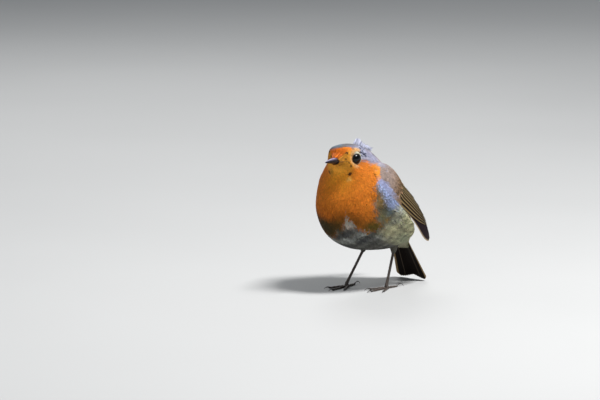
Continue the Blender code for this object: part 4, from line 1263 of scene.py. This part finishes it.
def covert_batch(places, length, width, root, tip, rim=0.0, columns=7, rows=6, point=0.5,
                 fray=0.15, slope=0.0):
    """Coverts on the wing's outer face, with paler rims. slope draws each row back towards
    the wing's upper edge."""
    s, r = places
    s = s + slope * (r + 1)
    count = len(s)
    length = length * (0.9 + 0.2 * chance.random(count))
    sway = 0.07 * chance.standard_normal(count)
    points, normals, u, v = lay_tufts(wing_surface, s, r, length, width, root, tip, sway,
                                      columns=columns, rows=rows, fray=fray, point=point,
                                      hollow=0.05, soft=0.7)
    value = 1 + 0.10 * (2 * chance.random((count, 1, u.shape[2])) - 1)
    edge = np.maximum(smooth_step(np.abs(v), 0.6, 1.0), smooth_step(u, 0.75, 1.0))
    tone = wing_tone(s + 0.7 * length / WING_LENGTH, r) * (1 + 0.15 * scatter((count, 1), 1.5))
    colours = tone[:, None, None] * (value * (1 - 0.6 * rim + rim * edge))[..., None]
    across = (r / 2.4 + 0.5)[:, None, None] * 0.94 + 0.03 + 0.0015 * v
    down = (np.clip((s + 0.06) / 1.1, 0, 1)[:, None, None] * 0.94 + 0.03
            + 0.0015 * (2 * u - 1))
    return [points, normals, np.clip(colours, 0, 1),
            np.stack(np.broadcast_arrays(across, down), axis=-1),
            barb_place(u, v, width, length)]


lock = {"columns": 2, "rows": 4, "point": 0.85}
covert_parts = [            # greater and middle coverts, small ones, scapulars, and two of locks
    covert_batch(covert_places((0.14,), (-0.86, 0.50), 2.1), 11.5, 3.6, 0.95, 0.08,
                 rim=1.0, slope=0.035),
    covert_batch(covert_places((0.10,), (-0.90, 0.55), 1.9), 9.0, 3.2, 0.90, 0.02,
                 rim=0.8, slope=0.03),
    covert_batch(covert_places(np.linspace(0.0, 0.12, 6), (-1.0, 0.9), 1.5),
                 5.2, 2.4, 0.85, -0.08, rim=0.15, fray=0.3),
    covert_batch(covert_places(np.linspace(0.01, 0.25, 11), (0.28, 1.08), 1.7),
                 7.5, 2.7, 0.90, -0.18, rim=0.5, fray=0.3),
    covert_batch(covert_places(np.linspace(0.0, 0.20, 20), (-1.0, 1.0), 0.8),
                 4.2, 0.45, 0.60, -0.14, **lock),
    covert_batch(covert_places(np.linspace(0.01, 0.25, 22), (0.30, 1.08), 0.8),
                 5.0, 0.45, 0.60, -0.24, **lock)]
lower = 0.27 * chance.random(FRINGES) + 0.02, -1.08 + 0.20 * chance.random(FRINGES)
upper = 0.36 * chance.random(FRINGES) + 0.03, 1.00 + 0.12 * chance.random(FRINGES)
for places in (lower, upper):
    covert_parts.append(covert_batch(places, 4.6, 1.7, 1.5, -0.05, columns=5, rows=5, fray=0.35))
    covert_parts.append(covert_batch(places, 4.2, 0.5, 1.4, -0.12, columns=2, rows=5, point=0.85))
turn = chance.random(BRIDGING)      # those that bridge from the body over the wing's edge
edge_s, edge_r, rise = (np.interp(turn, BRIDGE_TURN, marks)
                        for marks in (BRIDGE_S, BRIDGE_R, BRIDGE_RISE))
back = unit(WING_TIP - WING_WRIST)
above = unit(wing_surface(0.12, 0.6) - wing_surface(0.12, -0.6))
away = unit(-back + above * rise[:, None])
base = wing_surface(edge_s, edge_r) + away * (0.6 + 2.4 * chance.random((BRIDGING, 1)))
landed = [body_seat.find_nearest(point) for point in base]
base, face = (np.array([np.array(found[k]) for found in landed]) for k in (0, 1))
face = face * np.sign(np.sum(face * (base - BODY_MIDDLE), axis=1, keepdims=True))
tip_s = edge_s + 0.02 + 0.06 * chance.random(BRIDGING)
tip_r = edge_r * (0.98 - 0.14 * chance.random(BRIDGING))
end = wing_surface(tip_s, tip_r, -0.12 - 0.12 * chance.random(BRIDGING))
width = np.where(chance.random(BRIDGING) < 0.45, 1.5, 0.5)
points, normals, u, v = loose_tufts(base - face * 0.5, end, width, face, columns=3, rows=6,
                                    bow=0.7, point=0.8)
normals = unit(face[:, None, None] + 0.25 * normals)
place = place_on_skin(base)
tone = wing_tone(tip_s, tip_r) * (1 + 0.10 * scatter((BRIDGING, 1), 1.5))
grown = smooth_step(u, 0.1, 0.7)[..., None]     # from the body's colour over to the wing's
mixed = grown + (1 - grown) * (plumage(*place.T) / np.maximum(tone, 0.02))[:, None, None]
covert_parts.append(batch_of((points, normals, u, v), tone, *place.T, width, 6.0, 0.8,
                             gain=mixed))
flesh_outer = wing_outer * 0.4 + wing_inner * 0.6
flesh = np.concatenate([flesh_outer[2:36, 2:-2], wing_inner[2:36, -3:1:-1]], axis=1)
for side, sign in (("left", 1), ("right", -1)):
    core = shell("wing_flesh_" + side, flesh * (1, sign, 1), skin_material, FLESH)
    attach(core, "root")
    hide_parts("wing_" + side)
    sew("wing_quills_" + side, wing_parts, stiff_material, sign < 0)
    sew("wing_coverts_" + side, covert_parts, feather_material, sign < 0)

# Tail. Twelve stiff feathers, folded to a narrow fan: the middle pair lies on top and
# each pair further out lies under the one before, with a shallow notch at the end.
TAIL_ROOT, TAIL_TIP = np.array((-29.5, 0.0, 34.0)), np.array((-45.6, 0.0, 1.0))
TAIL_WIDTH, TAIL_NOTCH, TAIL_LIFT, TAIL_ARCH = (11.5, 25.0), 1.6, 0.4, 1.2
TAIL_INNER = (-0.12, 0.02, 0.14, 0.26, 0.38, 0.48)      # each pair's inner edge, middle first
TAIL_RIMS = (0.045, 0.032, 0.020, 0.14, 0.05, 0.33)     # and how pale its outer rim is
# The vanes' near-black is painted shade, darker than the tail's own brown.
RIM_BROWN, VANE_PAINTED_SHADE, TIP_BROWN = (1.0, 0.68, 0.34), (0.009, 0.006, 0.005), (0.13, 0.095, 0.05)


def tail_surface(s, side, depth=0.0):
    """The tail's upper face: side from -1 to 1 across a fan that widens evenly from root
    to tip, arched by TAIL_ARCH side squared, and notched and rounded at its end."""
    s, side, depth = together(s, side, depth)
    along = TAIL_TIP - TAIL_ROOT
    span = np.linalg.norm(along)
    along = along / span
    up = np.cross(along, (0.0, 1.0, 0.0))
    up = up * np.sign(up[2])
    short = TAIL_NOTCH * (np.exp(-(side / 0.35) ** 2) + 1.2 * np.abs(side) ** 7)
    out = (TAIL_ROOT + along * (span * s - short * s**3)[..., None]
           + up * (TAIL_LIFT - TAIL_ARCH * side**2 - depth)[..., None])
    out[..., 1] = 0.5 * (TAIL_WIDTH[0] + (TAIL_WIDTH[1] - TAIL_WIDTH[0]) * s) * side
    return out


tail_parts = []
for number in range(12):
    pair = number // 2
    outer, inner = 0.30 + 0.14 * pair, TAIL_INNER[pair]
    made = quill(tail_surface, (0.12, 1.0), (outer, outer), (inner, inner),
                 (0.08 + 0.13 * pair, 0.04 + 0.11 * pair), 0.06, rows=24, tip_round=0.07)
    outermost = pair == 5
    tones = (VANE_PAINTED_SHADE, TAIL_RIMS[pair] * np.array(RIM_BROWN),
             (0.13, 0.10, 0.07) if outermost else (0.016, 0.011, 0.008),
             TIP_BROWN, 0.975, 0.40 if outermost else 0.72)
    part = stiff_part(made, tones, number, 12, 2.8, 36.0)
    if number % 2 == 0:
        part = [part[0] * (1, -1, 1), part[1] * (1, -1, 1), *part[2:]]
    tail_parts.append(part)
tail = sew("tail_feathers", tail_parts, stiff_material)
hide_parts("tail")

# Stage. A plain pale floor, soft light from the upper right of the view with a weak fill
# and a light from behind, a pale sky, and the camera, a little above the bird.
BEARING, ELEVATION = np.radians(132.0), np.radians(9.0)
AIM_ACROSS, AIM_UP, DISTANCE, LENS, SENSOR = -40.74, 54.3, 3.0, 291.6, 36.0
toward = np.array((np.sin(BEARING) * np.cos(ELEVATION), -np.cos(BEARING) * np.cos(ELEVATION),
                   np.sin(ELEVATION)))
across = np.array((np.cos(BEARING), np.sin(BEARING), 0.0))
upward = np.cross(toward, across)
aim_at = (across * AIM_ACROSS + upward * AIM_UP + (AHEAD, 0, 0)) * MM
floor_mesh = bpy.data.meshes.new("floor")
floor_mesh.from_pydata([(-6, -6, 0), (6, -6, 0), (6, 6, 0), (-6, 6, 0)], [], [(0, 1, 2, 3)])
floor = put("floor", floor_mesh)


def floor_look(tree):
    """Pale matt paint with hardly any mottling."""
    mottle = grain(tree, 4.0, 2.0)
    ramp = node(tree, "ShaderNodeValToRGB", {"Fac": mottle})
    ramp.color_ramp.elements[0].color = (0.49, 0.49, 0.485, 1)
    ramp.color_ramp.elements[1].color = (0.53, 0.53, 0.525, 1)
    return ramp.outputs["Color"], mottle, 0.0001


def look_along(thing, way):
    """Turns a lamp or the camera to face along a direction."""
    thing.rotation_euler = Vector(way).to_track_quat("-Z", "Y").to_euler()


floor_mesh.materials.append(finish("floor_paint", floor_look, (0.7, 0.8)))
LIT = np.array((0.0, 0.0, 0.055))
LAMPS = (                   # way from the bird, distance and size in metres, power in watts
    ("key", toward * 0.42 + across * 0.45 + upward * 0.95, 1.2, 0.30, 21.5),
    ("fill", toward * 0.9 - across * 0.8 + upward * 0.35, 1.4, 0.9, 1.2),
    ("rim", -toward * 0.8 - across * 0.2 + upward * 0.9, 1.3, 0.6, 5.0))
for name, way, distance, size, power in LAMPS:
    lamp = bpy.data.lights.new(name, "AREA")
    lamp.shape, lamp.size, lamp.energy = "SQUARE", size, power
    light = put(name, lamp)
    light.location = LIT + unit(way) * distance
    look_along(light, -unit(way))
world = bpy.data.worlds.new("studio")
world.use_nodes = True
sky = world.node_tree.nodes["Background"].inputs
sky["Color"].default_value, sky["Strength"].default_value = (0.86, 0.93, 1.0, 1.0), 0.24
bpy.context.scene.world = world
bpy.context.scene.view_settings.view_transform = "Standard"
camera = put("camera", bpy.data.cameras.new("camera"))
camera.data.sensor_width, camera.data.lens, camera.data.clip_end = SENSOR, LENS, 50.0
camera.location = aim_at + toward * DISTANCE
look_along(camera, -toward)
bpy.context.scene.camera = camera
